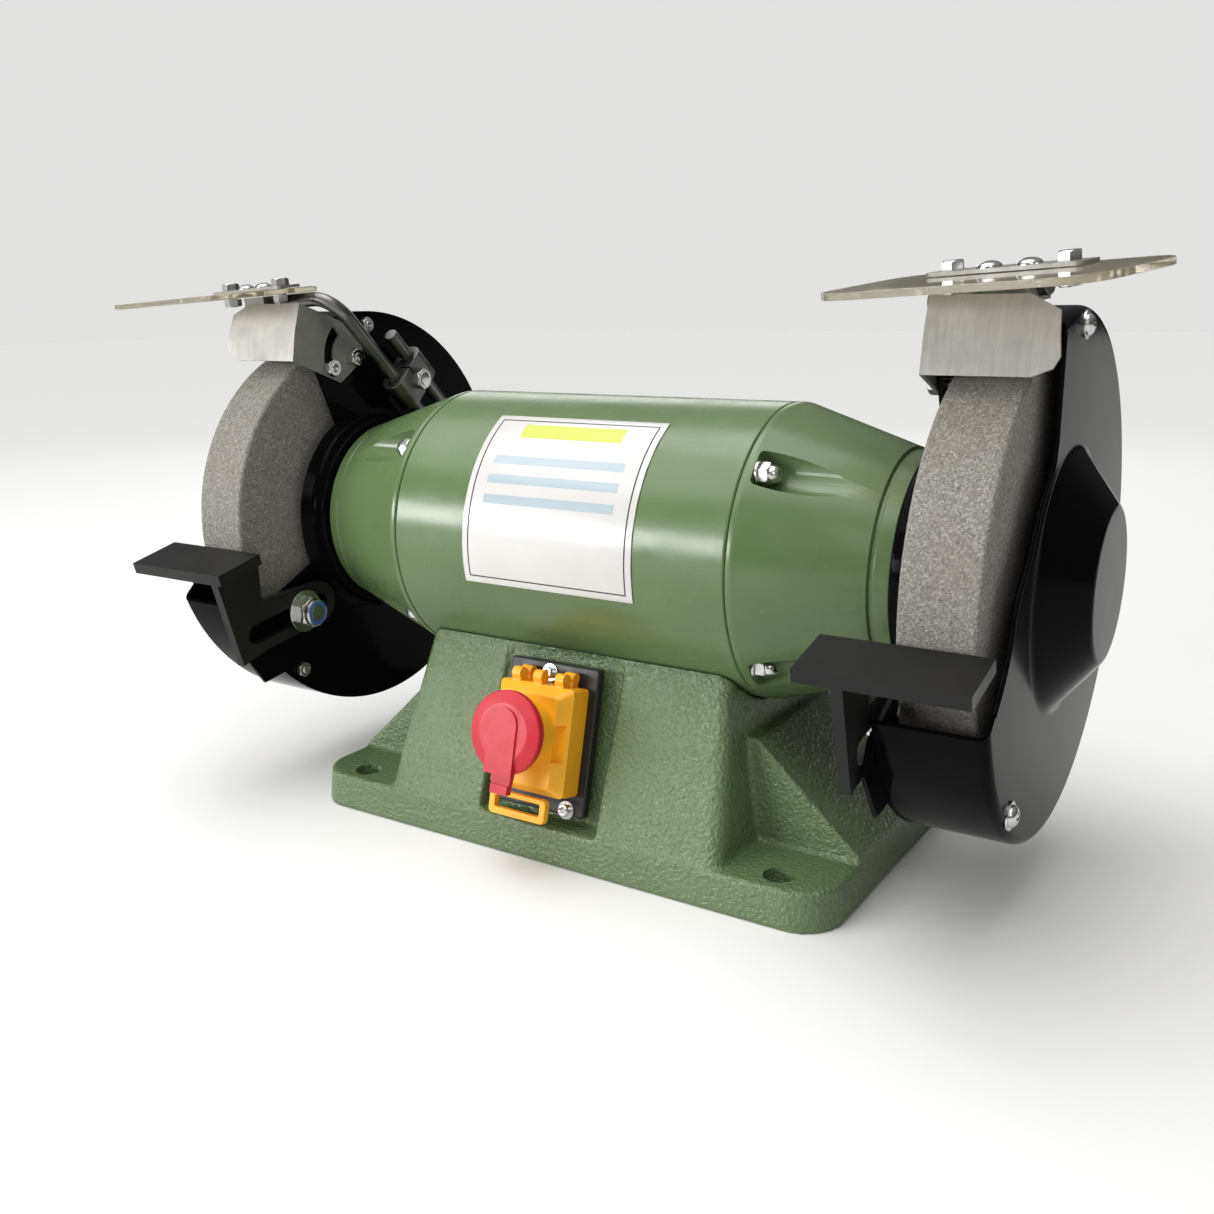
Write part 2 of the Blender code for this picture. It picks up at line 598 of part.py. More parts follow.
def deflector_bolts(side, word):
    for name, (y, z) in (("pivot", PIVOT), ("lock", LOCK)):
        head = 176.9 * mm
        profile = [(172.9 * mm, 0), (172.9 * mm, 5.5 * mm), (head, 5.5 * mm), (head, 3 * mm),
                   (183 * mm, 3 * mm), (183 * mm, 0)]
        put(f"{word}_deflector_{name}_bolt", mirrored(turned(profile, 12, (y, AXIS_Z + z)), side), "zinc")


# ---------------------------------------------------------------- eye shields

# For each side: the distances of the shield rod and the support rod from the shaft axis, the height of
# the shield rod's bend, the sheet's yaw and slopes, the bend's radius, the places of the sheet's and
# the strip's middles along the rod's outer run, and where the rod's lower end lies.
SHIELD = {
    -1: dict(rod_q=61.3 * mm, support_q=78.3 * mm, bend_z=124.8 * mm, yaw=math.radians(-9.4), bend_r=14 * mm,
             slope_x=0.053, slope_y=0.063, sheet=77 * mm, strip=61 * mm, end_s=9 * mm),
    1: dict(rod_q=77.7 * mm, support_q=94.7 * mm, bend_z=122.7 * mm, yaw=math.radians(-16.9), bend_r=10 * mm,
            slope_x=0.074, slope_y=0.092, sheet=44 * mm, strip=42 * mm, end_s=-2 * mm),
}
SHIELD_BEHIND = 9.5 * mm             # how far the sheet reaches behind the rod's outer run
STRIP_SIZE = (70 * mm, 16 * mm, 1.6 * mm)
STRIP_FORWARD = 8.5 * mm             # the strip's middle lies this far in front of the rod
STRIP_BOLT = 26 * mm                 # from the strip's middle to each end bolt
SADDLE = (-11 * mm, 9 * mm)          # the saddle's ends along the rod, from the strip's middle


def on_rod(q, s):
    """Point on a slanted rod: q from the shaft axis, s along the rod towards the back."""
    return ((q + s) / math.sqrt(2), (q - s) / math.sqrt(2))


def rod_s(q, z):
    return q - z * math.sqrt(2)


def shield_frame(side):
    """Frame on the shield rod's outer run: x outwards along it, y to the back, z up from the sheet.
    On the left it is left-handed, so that both sides read alike."""
    d = SHIELD[side]
    y, z = on_rod(d["rod_q"], rod_s(d["rod_q"], d["bend_z"]))
    run = Vector((math.cos(d["yaw"]), math.sin(d["yaw"]), 0)) * side
    run.z = d["slope_x"] * run.x + d["slope_y"] * run.y
    run.normalize()
    normal = Vector((-d["slope_x"], -d["slope_y"], 1)).normalized()
    back = normal.cross(run) * side
    frame = Matrix((run, back, normal)).transposed().to_4x4()
    frame.translation = Vector((side * ROD_X, y, AXIS_Z + z))
    return frame


def rod_corners(side):
    d = SHIELD[side]
    frame = shield_frame(side)
    outer_end = frame @ Vector((d["strip"] + SADDLE[1], 0, 0))
    y, z = on_rod(d["rod_q"], d["end_s"])
    return [outer_end, frame.translation, Vector((side * ROD_X, y, AXIS_Z + z))]


def hexagon(x, y, radius, low, high):
    return prism([(x + u, y + v) for u, v in arc((0, 0), radius, 0, 300, 5)], "z", low, high)


def eye_shield(side, word):
    d = SHIELD[side]
    frame = shield_frame(side)
    width, depth, thick = SHIELD_SIZE
    under = ROD_R + GAP
    top = under + thick + GAP
    pivot = frame.translation
    outline = [(d["sheet"] + u, SHIELD_BEHIND - depth / 2 + v)
               for u, v in rounded_rect(width / 2, depth / 2, SHIELD_CORNER_R, 4)]
    slab = moved(prism(outline, "z", under, under + thick), frame)
    sheet = put(f"{word}_eye_shield", slab, "clear_plastic", pivot)
    middle, front = d["strip"], -STRIP_FORWARD
    length, across, strip_t = STRIP_SIZE
    strip = prism([(middle + u, front + v) for u, v in rounded_rect(length / 2, across / 2, 3 * mm, 2)],
                  "z", top, top + strip_t)
    clip = put(f"{word}_shield_clip", moved(strip, frame), "galvanised", pivot)
    bolts = (middle - STRIP_BOLT, middle + STRIP_BOLT)
    for x in bolts:
        cut(sheet, moved(hexagon(x, front, 3.2 * mm, 0, 15 * mm), frame))
        join(clip, moved(hexagon(x, front, 2.5 * mm, 0, top + 1 * mm), frame))
        join(clip, moved(hexagon(x, front, 5 * mm, top + strip_t - 0.3 * mm, top + strip_t + 4 * mm), frame))
        join(clip, moved(hexagon(x, front, 5 * mm, -0.5 * mm, under - GAP), frame))
    near, far = middle + SADDLE[0], middle + SADDLE[1]
    block = [(near, front - 3 * mm), (far, front - 3 * mm), (far, 6.5 * mm), (near, 6.5 * mm)]
    join(clip, moved(prism(block, "z", -5.8 * mm, under - GAP), frame))
    stud = [(near + 7 * mm, front - 2 * mm), (far - 7 * mm, front - 2 * mm),
            (far - 7 * mm, front + 2 * mm), (near + 7 * mm, front + 2 * mm)]
    join(clip, moved(prism(stud, "z", 1 * mm, top + 0.5 * mm), frame))
    hole = [(u + math.copysign(GAP, u - middle), v + math.copysign(GAP, v - front)) for u, v in stud]
    cut(sheet, moved(prism(hole, "z", 1 * mm, top + 2 * mm), frame))
    cut(clip, moved(rod(0, 200 * mm, ROD_R + GAP, 16, (0, 0)), frame))


def shield_rod(side, word):
    path = smooth_path(rod_corners(side), SHIELD[side]["bend_r"])
    put(f"{word}_shield_rod", tube(path, ROD_R), "dark_steel", rod_corners(side)[1])


def support_rod(side, word):
    q = SHIELD[side]["support_q"]
    down_y = 63 * mm
    x = side * ROD_X
    top = on_rod(q, -68 * mm)
    knee_z = q * math.sqrt(2) - down_y
    foot_z = -14 * mm
    corners = [(x, top[0], AXIS_Z + top[1]), (x, down_y, AXIS_Z + knee_z),
               (x, down_y, AXIS_Z + foot_z), (side * 177 * mm, down_y, AXIS_Z + foot_z)]
    bar = put(f"{word}_support_rod", tube(smooth_path(corners, 8 * mm, 4), ROD_R), "dark_steel")
    foot = [(175 * mm, 0), (175 * mm, 8 * mm), (178.7 * mm, 8 * mm), (178.7 * mm, 0)]
    join(bar, mirrored(turned(foot, 16, (down_y, AXIS_Z + foot_z)), side))


def rod_clamp(side, word):
    d = SHIELD[side]
    q_mid = (d["rod_q"] + d["support_q"]) / 2
    y, z = on_rod(q_mid, CLAMP_S)
    centre = Vector((side * ROD_X, y, AXIS_Z + z))
    frame = Matrix.Translation(centre) @ Matrix.Rotation(math.radians(-45), 4, "X")
    block = prism(rounded_rect(7.3 * mm, 16.5 * mm, 6 * mm, 3), "y", -10 * mm, 10 * mm)
    clamp = put(f"{word}_rod_clamp", moved(block, frame), "dark_steel", centre)
    half_gap = (d["support_q"] - d["rod_q"]) / 2
    for offset in (-half_gap, half_gap):
        cut(clamp, moved(rod(-40 * mm, 40 * mm, ROD_R + GAP, 12, (0, offset), "y"), frame))
    screw = [(-13 * mm, 0), (-13 * mm, 6.2 * mm), (-6.5 * mm, 6.2 * mm), (-6.5 * mm, 3 * mm),
             (6.5 * mm, 3 * mm), (6.5 * mm, 5.6 * mm), (8.5 * mm, 5.6 * mm), (8.5 * mm, 0)]
    bolt = mirrored(turned(screw, 12, (0, 0)), side)
    join(clamp, moved(bolt, Matrix.Translation(centre)))


# ---------------------------------------------------------------- label and switch

def rating_label():
    inner, outer = HOUSING_R + 0.35 * mm, HOUSING_R + 0.75 * mm
    steps = 12
    angles = [180 + 13 - (13 + 73.5) * k / steps for k in range(steps + 1)]
    outline = [(r * math.cos(math.radians(a)), AXIS_Z + r * math.sin(math.radians(a)))
               for r, run in ((inner, angles), (outer, angles[::-1])) for a in run]
    put("rating_label", prism(outline, "x", -51 * mm, 49 * mm), "label")


def switch():
    frame = switch_matrix()

    def local(name, bm, look, at=None):
        pivot = frame @ Vector(at) if at else None
        return put(name, moved(bm, frame), look, pivot)

    def local_box(u0, u1, n0, n1, v0, v1):
        """Box in the switch's own frame: across, out of the plate, up the plate."""
        return box(u0 * mm, u1 * mm, -n1 * mm, -n0 * mm, v0 * mm, v1 * mm)

    def local_rod(n0, n1, r, sides, u, v):
        return rod(-n1 * mm, -n0 * mm, r * mm, sides, (u * mm, v * mm), "y")

    slab = prism(rounded_rect(27 * mm, 37.5 * mm, 2 * mm, 2), "y", 0, 5 * mm)
    plate = local("switch_plate", slab, "black_plastic")
    cut(plate, moved(local_box(-18, 18, -9, 3, -20.5, 20.5), frame))
    body = local("switch_body", local_box(-22.3, 22.3, 0.3, 13, -27, 27), "yellow_plastic")
    join(body, moved(local_box(-17, 17, -30, 2, -19.5, 19.5), frame))
    for u in (-13, 13):
        join(body, moved(local_box(u - 3, u + 3, 2, 9.7, 26, 36), frame))
    for v in (11, -11):
        cut(body, moved(local_box(-7.6, 7.6, 5, 20, v - 6.6, v + 6.6), frame))
    local("start_button", local_box(-7, 7, 8, 15.5, 5, 17), "green_plastic")
    local("stop_button", local_box(-7, 7, 8, 16, -17, -5), "red_plastic")

    hinge = (0, -14.5 * mm, 31 * mm)
    lid = local("switch_lid", local_box(-22.3, 22.3, 13.3, 24.5, -27, 27), "yellow_plastic", hinge)
    cut(lid, moved(local_box(-20.3, 20.3, 10, 22.5, -25, 25), frame))
    join(lid, moved(local_rod(24, 33, 17.5, 32, 0, 3.9), frame))
    cut(lid, moved(local_rod(15, 40, 13, 32, 0, 3.9), frame))
    for u in (-13, 0, 13):
        join(lid, moved(local_box(u - 2.5, u + 2.5, 13.3, 18, 26, 34), frame))

    disc = local_rod(37.2, 43, 20.5, 40, 0, 3.9)
    paddle = local("stop_paddle", disc, "red_plastic", (0, -37 * mm, 3.9 * mm))
    join(paddle, moved(local_rod(20.5, 38, 11.5, 24, 0, 3.9), frame))
    join(paddle, moved(local_box(-5, 5, 37.4, 41, -26, -13), frame))
    join(paddle, moved(local_box(-6, 6, 42.6, 44.4, -14, 10), frame))

    bail_axis = (0, -22.5 * mm, -30 * mm)
    bail = local("latch_bail", local_box(-17, 17, 20.5, 24.5, -40, -28), "yellow_plastic", bail_axis)
    cut(bail, moved(local_box(-13.5, 13.5, 10, 30, -36.5, -30.5), frame))


# ---------------------------------------------------------------- assembly

def build():
    clear_scene()
    base_casting()
    base_inside()
    motor_housing()
    tie_bolts()
    stator()
    spin = axis_empty("rotor_axis", (0, 0, AXIS_Z))
    rotor(spin)
    rating_label()
    switch()
    for side, word in ((-1, "left"), (1, "right")):
        end_bell(side, word)
        bearing(side, word)
        wheel_set(side, word, spin)
        inner_guard(side, word)
        outer_cover(side, word)
        tool_rest(side, word)
        rest_bolt(side, word)
        spark_deflector(side, word)
        deflector_bolts(side, word)
        eye_shield(side, word)
        shield_rod(side, word)
        support_rod(side, word)
        rod_clamp(side, word)


build()
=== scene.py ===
"""Bench grinder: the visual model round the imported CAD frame.

Frame: X along the shaft, Y to the back, Z up, in metres. Pieces are made in world coordinates.
"""

import math

import bmesh
import bpy
from mathutils import Matrix, Vector


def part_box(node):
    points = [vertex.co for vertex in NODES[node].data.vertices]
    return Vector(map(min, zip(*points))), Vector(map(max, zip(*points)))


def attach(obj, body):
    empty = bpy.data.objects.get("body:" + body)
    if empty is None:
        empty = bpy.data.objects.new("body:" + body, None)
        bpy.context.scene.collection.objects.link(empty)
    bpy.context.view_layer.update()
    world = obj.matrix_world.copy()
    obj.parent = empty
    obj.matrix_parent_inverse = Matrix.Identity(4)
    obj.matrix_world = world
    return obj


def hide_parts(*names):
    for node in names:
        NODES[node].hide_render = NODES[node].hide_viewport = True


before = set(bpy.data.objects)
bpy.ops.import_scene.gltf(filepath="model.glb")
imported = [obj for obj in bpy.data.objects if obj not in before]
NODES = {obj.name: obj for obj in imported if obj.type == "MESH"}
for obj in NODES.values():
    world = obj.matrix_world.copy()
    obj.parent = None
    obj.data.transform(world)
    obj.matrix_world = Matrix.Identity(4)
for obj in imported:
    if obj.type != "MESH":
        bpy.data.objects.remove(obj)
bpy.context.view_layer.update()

mm = 0.001
SIDES = ((-1, "left"), (1, "right"))


def middle(node):
    low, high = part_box(node)
    return (Vector(low) + Vector(high)) / 2


def size(node):
    low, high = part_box(node)
    return Vector(high) - Vector(low)


AXIS_Z = middle("shaft").z
HOUSING_R = size("motor_housing").z / 2
HOUSING_HALF = size("motor_housing").x / 2
WHEEL_R = size("right_wheel").z / 2
WHEEL_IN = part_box("right_wheel")[0][0]
WHEEL_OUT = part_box("right_wheel")[1][0]
BELL_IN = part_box("right_end_bell")[0][0]
BELL_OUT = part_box("right_end_bell")[1][0]
GUARD_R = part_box("right_outer_cover")[1][1]
GUARD_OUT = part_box("right_inner_guard")[1][0]
COVER_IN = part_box("right_outer_cover")[0][0]
HUB_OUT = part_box("right_outer_cover")[1][0]
TIE_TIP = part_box("tie_bolt_front_top")[1][0]


# ---------------------------------------------------------------- shapes

def loft(sections):
    """Solid through sections of equally many points, with flat ends."""
    bm = bmesh.new()
    rings = [[bm.verts.new(p) for p in section] for section in sections]
    count = len(rings[0])
    for a, b in zip(rings, rings[1:]):
        for i in range(count):
            j = (i + 1) % count
            bm.faces.new((a[i], a[j], b[j], b[i]))
    bm.faces.new(rings[0])
    bm.faces.new(rings[-1])
    bmesh.ops.recalc_face_normals(bm, faces=bm.faces[:])
    return bm


def prism(outline, axis, low, high):
    def place(p, h):
        return {"x": (h, p[0], p[1]), "y": (p[0], h, p[1]), "z": (p[0], p[1], h)}[axis]
    return loft([[place(p, h) for p in outline] for h in (low, high)])


def turned(profile, sides=96, centre=(0.0, None), axis="x"):
    """Turn a closed loop of (along, radius) about an axis parallel to x, y or z."""
    bm = bmesh.new()
    cu, cv = centre[0], AXIS_Z if centre[1] is None else centre[1]

    def place(a, r, angle):
        u, v = r * math.cos(angle), r * math.sin(angle)
        if axis == "x":
            return (a, cu + u, cv + v)
        if axis == "y":
            return (cu + u, a, cv + v)
        return (cu + u, cv + v, a)
    rings = []
    for a, r in profile:
        count = 1 if r == 0 else sides
        rings.append([bm.verts.new(place(a, r, 2 * math.pi * k / sides)) for k in range(count)])
    for a, b in zip(rings, rings[1:] + rings[:1]):
        for k in range(sides):
            n = (k + 1) % sides
            if len(a) == 1 and len(b) == 1:
                break
            if len(a) == 1:
                bm.faces.new((a[0], b[k], b[n]))
            elif len(b) == 1:
                bm.faces.new((a[k], a[n], b[0]))
            else:
                bm.faces.new((a[k], a[n], b[n], b[k]))
    bmesh.ops.recalc_face_normals(bm, faces=bm.faces[:])
    return bm


def rod(low, high, radius, sides=48, centre=(0.0, None), axis="x"):
    return turned([(low, 0), (low, radius), (high, radius), (high, 0)], sides, centre, axis)


def arc(centre, radius, start, end, steps):
    return [(centre[0] + radius * math.cos(math.radians(a)), centre[1] + radius * math.sin(math.radians(a)))
            for a in (start + (end - start) * k / steps for k in range(steps + 1))]


def rounded_rect(half_u, half_v, radius, steps=8, middle_at=(0, 0)):
    points = []
    for corner, (su, sv) in enumerate(((1, 1), (-1, 1), (-1, -1), (1, -1))):
        centre = (middle_at[0] + su * (half_u - radius), middle_at[1] + sv * (half_v - radius))
        points += arc(centre, radius, 90 * corner, 90 * corner + 90, steps)
    return points


def box(x0, x1, y0, y1, z0, z1):
    return prism([(x0, y0), (x1, y0), (x1, y1), (x0, y1)], "z", z0, z1)


def fillet(profile, radii, steps=5):
    """Round the corners of an open profile; radii are one for each inner corner."""
    points = [Vector(profile[0])]
    for before, here, after, radius in zip(profile, profile[1:], profile[2:], radii):
        here = Vector(here)
        into = (Vector(before) - here).normalized()
        out = (Vector(after) - here).normalized()
        half = into.angle(out) / 2
        if radius <= 0 or half > math.radians(88):
            points.append(here)
            continue
        reach = radius / math.tan(half)
        centre = here + (into + out).normalized() * radius / math.sin(half)
        start, end = here + into * reach - centre, here + out * reach - centre
        turn = start.angle(end)
        for k in range(steps + 1):
            f = k / steps
            swing = start * math.sin((1 - f) * turn) + end * math.sin(f * turn)
            points.append(centre + swing / math.sin(turn))
    points.append(Vector(profile[-1]))
    return points


def tube(points, radius, sides=24):
    points = [Vector(p) for p in points]
    tangents = []
    for k in range(len(points)):
        tangents.append((points[min(k + 1, len(points) - 1)] - points[max(k - 1, 0)]).normalized())
    side = tangents[0].orthogonal().normalized()
    sections = []
    for point, tangent in zip(points, tangents):
        side = (side - tangent * side.dot(tangent)).normalized()
        other = tangent.cross(side)
        sections.append([point + radius * (math.cos(a) * side + math.sin(a) * other)
                         for a in (2 * math.pi * k / sides for k in range(sides))])
    return loft(sections)


def moved(bm, matrix):
    bmesh.ops.transform(bm, matrix=matrix, verts=bm.verts[:])
    if matrix.to_3x3().determinant() < 0:
        bmesh.ops.reverse_faces(bm, faces=bm.faces[:])
    return bm


def mirrored(bm, side):
    return moved(bm, Matrix.Scale(-1, 4, (1, 0, 0))) if side < 0 else bm


def placed(bm, at, direction):
    """Move a shape made along +Z from the origin to a point and a direction."""
    turn = Vector((0, 0, 1)).rotation_difference(Vector(direction).normalized())
    return moved(bm, Matrix.Translation(at) @ turn.to_matrix().to_4x4())


def merged(*shapes):
    """Several closed shells in one mesh."""
    total = bmesh.new()
    for shape in shapes:
        mesh = bpy.data.meshes.new("part")
        shape.to_mesh(mesh)
        shape.free()
        total.from_mesh(mesh)
        bpy.data.meshes.remove(mesh)
    return total


def from_axis(points):
    return [(p[0], AXIS_Z + p[1]) for p in points]


def scratch(bm, name="scratch"):
    mesh = bpy.data.meshes.new(name)
    bm.to_mesh(mesh)
    bm.free()
    obj = bpy.data.objects.new(name, mesh)
    bpy.context.scene.collection.objects.link(obj)
    return obj


def baked(obj):
    """The object's mesh with its modifiers applied, as a bmesh; the object goes."""
    graph = bpy.context.evaluated_depsgraph_get()
    mesh = bpy.data.meshes.new_from_object(obj.evaluated_get(graph))
    bm = bmesh.new()
    bm.from_mesh(mesh)
    bpy.data.meshes.remove(mesh)
    old = obj.data
    bpy.data.objects.remove(obj, do_unlink=True)
    bpy.data.meshes.remove(old)
    return bm


def boolean(bm, other, operation):
    target, tool = scratch(bm, "target"), scratch(other, "tool")
    modifier = target.modifiers.new("tool", "BOOLEAN")
    modifier.operation = operation
    modifier.solver = "EXACT"
    modifier.object = tool
    bpy.context.view_layer.update()
    result = baked(target)
    mesh = tool.data
    bpy.data.objects.remove(tool, do_unlink=True)
    bpy.data.meshes.remove(mesh)
    return result


def cut(bm, *tools):
    for other in tools:
        bm = boolean(bm, other, "DIFFERENCE")
    return bm


def join(bm, *tools):
    for other in tools:
        bm = boolean(bm, other, "UNION")
    return bm


def common(bm, other):
    return boolean(bm, other, "INTERSECT")


# ---------------------------------------------------------------- materials

class Look:
    """A procedural material being put together, in the piece's own coordinates."""

    def __init__(self, name, colour, roughness, metallic=0.0, coat=0.0, specular=0.5):
        self.material = bpy.data.materials.new(name)
        self.material.use_nodes = True
        self.tree = self.material.node_tree
        self.shader = self.tree.nodes["Principled BSDF"]
        self.set("Base Color", (*colour, 1.0))
        self.set("Roughness", roughness)
        self.set("Metallic", metallic)
        self.set("Coat Weight", coat)
        self.set("Coat Roughness", 0.08)
        self.set("Specular IOR Level", specular)
        self.coordinates = self.tree.nodes.new("ShaderNodeTexCoord").outputs["Object"]
        self.normal = None

    def set(self, socket, value):
        self.shader.inputs[socket].default_value = value

    def link(self, a, b):
        self.tree.links.new(a, b)

    def stretched(self, scale):
        node = self.tree.nodes.new("ShaderNodeMapping")
        node.inputs["Scale"].default_value = scale
        self.link(self.coordinates, node.inputs["Vector"])
        return node.outputs["Vector"]

    def noise(self, scale, detail=3.0, roughness=0.55, vector=None):
        node = self.tree.nodes.new("ShaderNodeTexNoise")
        node.inputs["Scale"].default_value = scale
        node.inputs["Detail"].default_value = detail
        node.inputs["Roughness"].default_value = roughness
        self.link(vector or self.coordinates, node.inputs["Vector"])
        return node.outputs["Fac"]

    def cells(self, scale, output="Color"):
        node = self.tree.nodes.new("ShaderNodeTexVoronoi")
        node.inputs["Scale"].default_value = scale
        self.link(self.coordinates, node.inputs["Vector"])
        return node.outputs[output]

    def range(self, source, low, high, from_low=0.3, from_high=0.7):
        node = self.tree.nodes.new("ShaderNodeMapRange")
        names = ("From Min", "From Max", "To Min", "To Max")
        for socket, value in zip(names, (from_low, from_high, low, high)):
            node.inputs[socket].default_value = value
        self.link(source, node.inputs["Value"])
        return node.outputs["Result"]

    def ramp(self, source, *stops):
        node = self.tree.nodes.new("ShaderNodeValToRGB")
        points = node.color_ramp.elements
        while len(points) < len(stops):
            points.new(0.5)
        for point, (at, colour) in zip(points, stops):
            point.position = at
            point.color = (*colour, 1.0)
        self.link(source, node.inputs["Fac"])
        return node.outputs["Color"]

    def colour(self, source):
        self.link(source, self.shader.inputs["Base Color"])

    def blend(self, factor, a, b, mode="MIX"):
        node = self.tree.nodes.new("ShaderNodeMix")
        node.data_type = "RGBA"
        node.blend_type = mode
        for socket, value in ((node.inputs[0], factor), (node.inputs[6], a), (node.inputs[7], b)):
            if isinstance(value, bpy.types.NodeSocket):
                self.link(value, socket)
            elif isinstance(value, float):
                socket.default_value = value
            else:
                socket.default_value = (*value, 1.0)
        return node.outputs[2]

    def roughness(self, source, low, high):
        self.link(self.range(source, low, high), self.shader.inputs["Roughness"])

    def bump(self, height, strength, distance):
        node = self.tree.nodes.new("ShaderNodeBump")
        node.inputs["Strength"].default_value = strength
        node.inputs["Distance"].default_value = distance
        self.link(height, node.inputs["Height"])
        if self.normal is not None:
            self.link(self.normal, node.inputs["Normal"])
        self.normal = node.outputs["Normal"]
        self.link(self.normal, self.shader.inputs["Normal"])


GREEN = (0.105, 0.160, 0.064)
GREEN_DARK = (0.090, 0.140, 0.054)
GREEN_PALE = (0.118, 0.176, 0.074)


def green_gloss():
    look = Look("green_gloss_paint", GREEN, 0.22, specular=0.5)
    cloud = look.noise(9.0, 3.0)
    look.colour(look.ramp(cloud, (0.3, GREEN_DARK), (0.7, GREEN_PALE)))
    look.roughness(look.noise(60.0, 4.0), 0.19, 0.30)
    look.bump(look.noise(230.0, 2.0, 0.4), 0.35, 0.00012)
    look.bump(look.noise(38.0, 1.0), 0.25, 0.0004)
    return look.material


def green_cast():
    look = Look("green_cast_paint", GREEN, 0.24, specular=0.6)
    cloud = look.noise(14.0, 4.0)
    fine = look.noise(560.0, 2.0)
    mottled = look.blend(look.range(fine, 0.0, 0.35), look.ramp(cloud, (0.3, GREEN_DARK), (0.7, GREEN_PALE)),
                         (0.135, 0.195, 0.092))
    look.colour(mottled)
    look.roughness(look.noise(90.0, 3.0), 0.13, 0.25)
    look.bump(look.noise(480.0, 2.5, 0.55), 1.0, 0.0016)
    look.bump(look.noise(150.0, 2.0), 0.35, 0.0010)
    return look.material


def gloss_black():
    look = Look("gloss_black_paint", (0.003, 0.003, 0.0034), 0.16, specular=0.03)
    look.roughness(look.noise(25.0, 4.0), 0.07, 0.17)
    look.bump(look.noise(160.0, 2.0), 0.12, 0.0001)
    look.bump(look.noise(16.0, 1.0), 0.2, 0.0008)
    return look.material


def satin_black():
    look = Look("satin_black_paint", (0.008, 0.008, 0.008), 0.42, specular=0.25)
    look.roughness(look.noise(50.0, 5.0), 0.36, 0.50)
    look.bump(look.noise(420.0, 3.0), 0.3, 0.00015)
    return look.material


def abrasive():
    look = Look("abrasive_grain", (0.17, 0.165, 0.155), 0.92, specular=0.25)
    grains = look.cells(1150.0)
    fine = look.cells(2300.0)
    coarse = look.ramp(grains, (0.0, (0.05, 0.048, 0.044)), (0.30, (0.18, 0.174, 0.160)),
                       (0.62, (0.27, 0.262, 0.24)), (1.0, (0.60, 0.585, 0.55)))
    small = look.ramp(fine, (0.0, (0.07, 0.068, 0.062)), (0.5, (0.24, 0.233, 0.215)),
                      (1.0, (0.52, 0.505, 0.475)))
    mixed = look.blend(0.5, coarse, small)
    cloud = look.range(look.noise(24.0, 4.0), 0.0, 0.35)
    look.colour(look.blend(cloud, mixed, (0.19, 0.165, 0.135)))
    look.bump(look.noise(900.0, 4.0, 0.7), 0.9, 0.0006)
    look.bump(look.cells(1150.0, "Distance"), 0.5, 0.0004)
    return look.material


def galvanised():
    look = Look("galvanised_sheet", (0.43, 0.42, 0.40), 0.5, metallic=0.8)
    streaks = look.noise(1.0, 5.0, 0.6, vector=look.stretched((900.0, 60.0, 60.0)))
    flakes = look.ramp(streaks, (0.3, (0.29, 0.282, 0.268)), (0.7, (0.37, 0.36, 0.342)))
    dull = look.noise(75.0, 5.0, 0.65)
    look.colour(look.blend(look.range(dull, 0.0, 0.5, 0.4, 0.7), flakes, (0.24, 0.234, 0.222)))
    look.roughness(look.noise(60.0, 5.0), 0.46, 0.62)
    look.bump(streaks, 0.25, 0.00008)
    return look.material


def metal(name, colour, rough, grain=500.0, strength=0.2, dark=0.75):
    look = Look(name, colour, rough, metallic=1.0)
    shade = tuple(c * dark for c in colour)
    look.colour(look.ramp(look.noise(55.0, 5.0), (0.3, shade), (0.65, colour)))
    look.roughness(look.noise(120.0, 4.0), rough * 0.75, rough * 1.3)
    look.bump(look.noise(grain, 3.0), strength, 0.00008)
    return look.material


def turned_metal(name, colour, rough):
    look = Look(name, colour, rough, metallic=1.0)
    rings = look.noise(1.0, 2.0, vector=look.stretched((2200.0, 6.0, 6.0)))
    look.colour(look.ramp(look.noise(40.0, 4.0), (0.3, tuple(c * 0.8 for c in colour)), (0.7, colour)))
    look.roughness(rings, rough * 0.8, rough * 1.3)
    look.bump(rings, 0.3, 0.00005)
    return look.material


def plastic(name, colour, rough, worn=None, grain=650.0):
    look = Look(name, colour, rough)
    shade = tuple(c * 0.86 for c in colour)
    tone = look.ramp(look.noise(45.0, 4.0), (0.3, shade), (0.7, colour))
    if worn:
        tone = look.blend(look.range(look.noise(130.0, 5.0), 0.0, 0.45, 0.5, 0.75), tone, worn)
    look.colour(tone)
    look.roughness(look.noise(80.0, 4.0), rough * 0.8, rough * 1.25)
    look.bump(look.noise(grain, 3.0), 0.25, 0.00008)
    return look.material


def clear():
    look = Look("clear_shield", (0.86, 0.80, 0.64), 0.05)
    look.set("Transmission Weight", 0.82)
    look.set("IOR", 1.49)
    look.roughness(look.noise(35.0, 5.0), 0.03, 0.09)
    look.bump(look.noise(30.0, 1.0), 0.05, 0.0003)
    return look.material


def paper(name, colour, rough=0.25):
    look = Look(name, colour, rough, coat=0.3)
    look.colour(look.ramp(look.noise(30.0, 3.0), (0.3, tuple(c * 0.93 for c in colour)), (0.7, colour)))
    look.bump(look.noise(240.0, 2.0), 0.08, 0.0001)
    return look.material


def winding():
    look = Look("copper_winding", (0.45, 0.15, 0.05), 0.32, metallic=0.7, coat=0.5)
    wires = look.noise(1.0, 1.0, vector=look.stretched((1500.0, 90.0, 90.0)))
    look.colour(look.ramp(wires, (0.35, (0.24, 0.07, 0.025)), (0.65, (0.52, 0.19, 0.07))))
    look.bump(wires, 0.8, 0.0004)
    return look.material


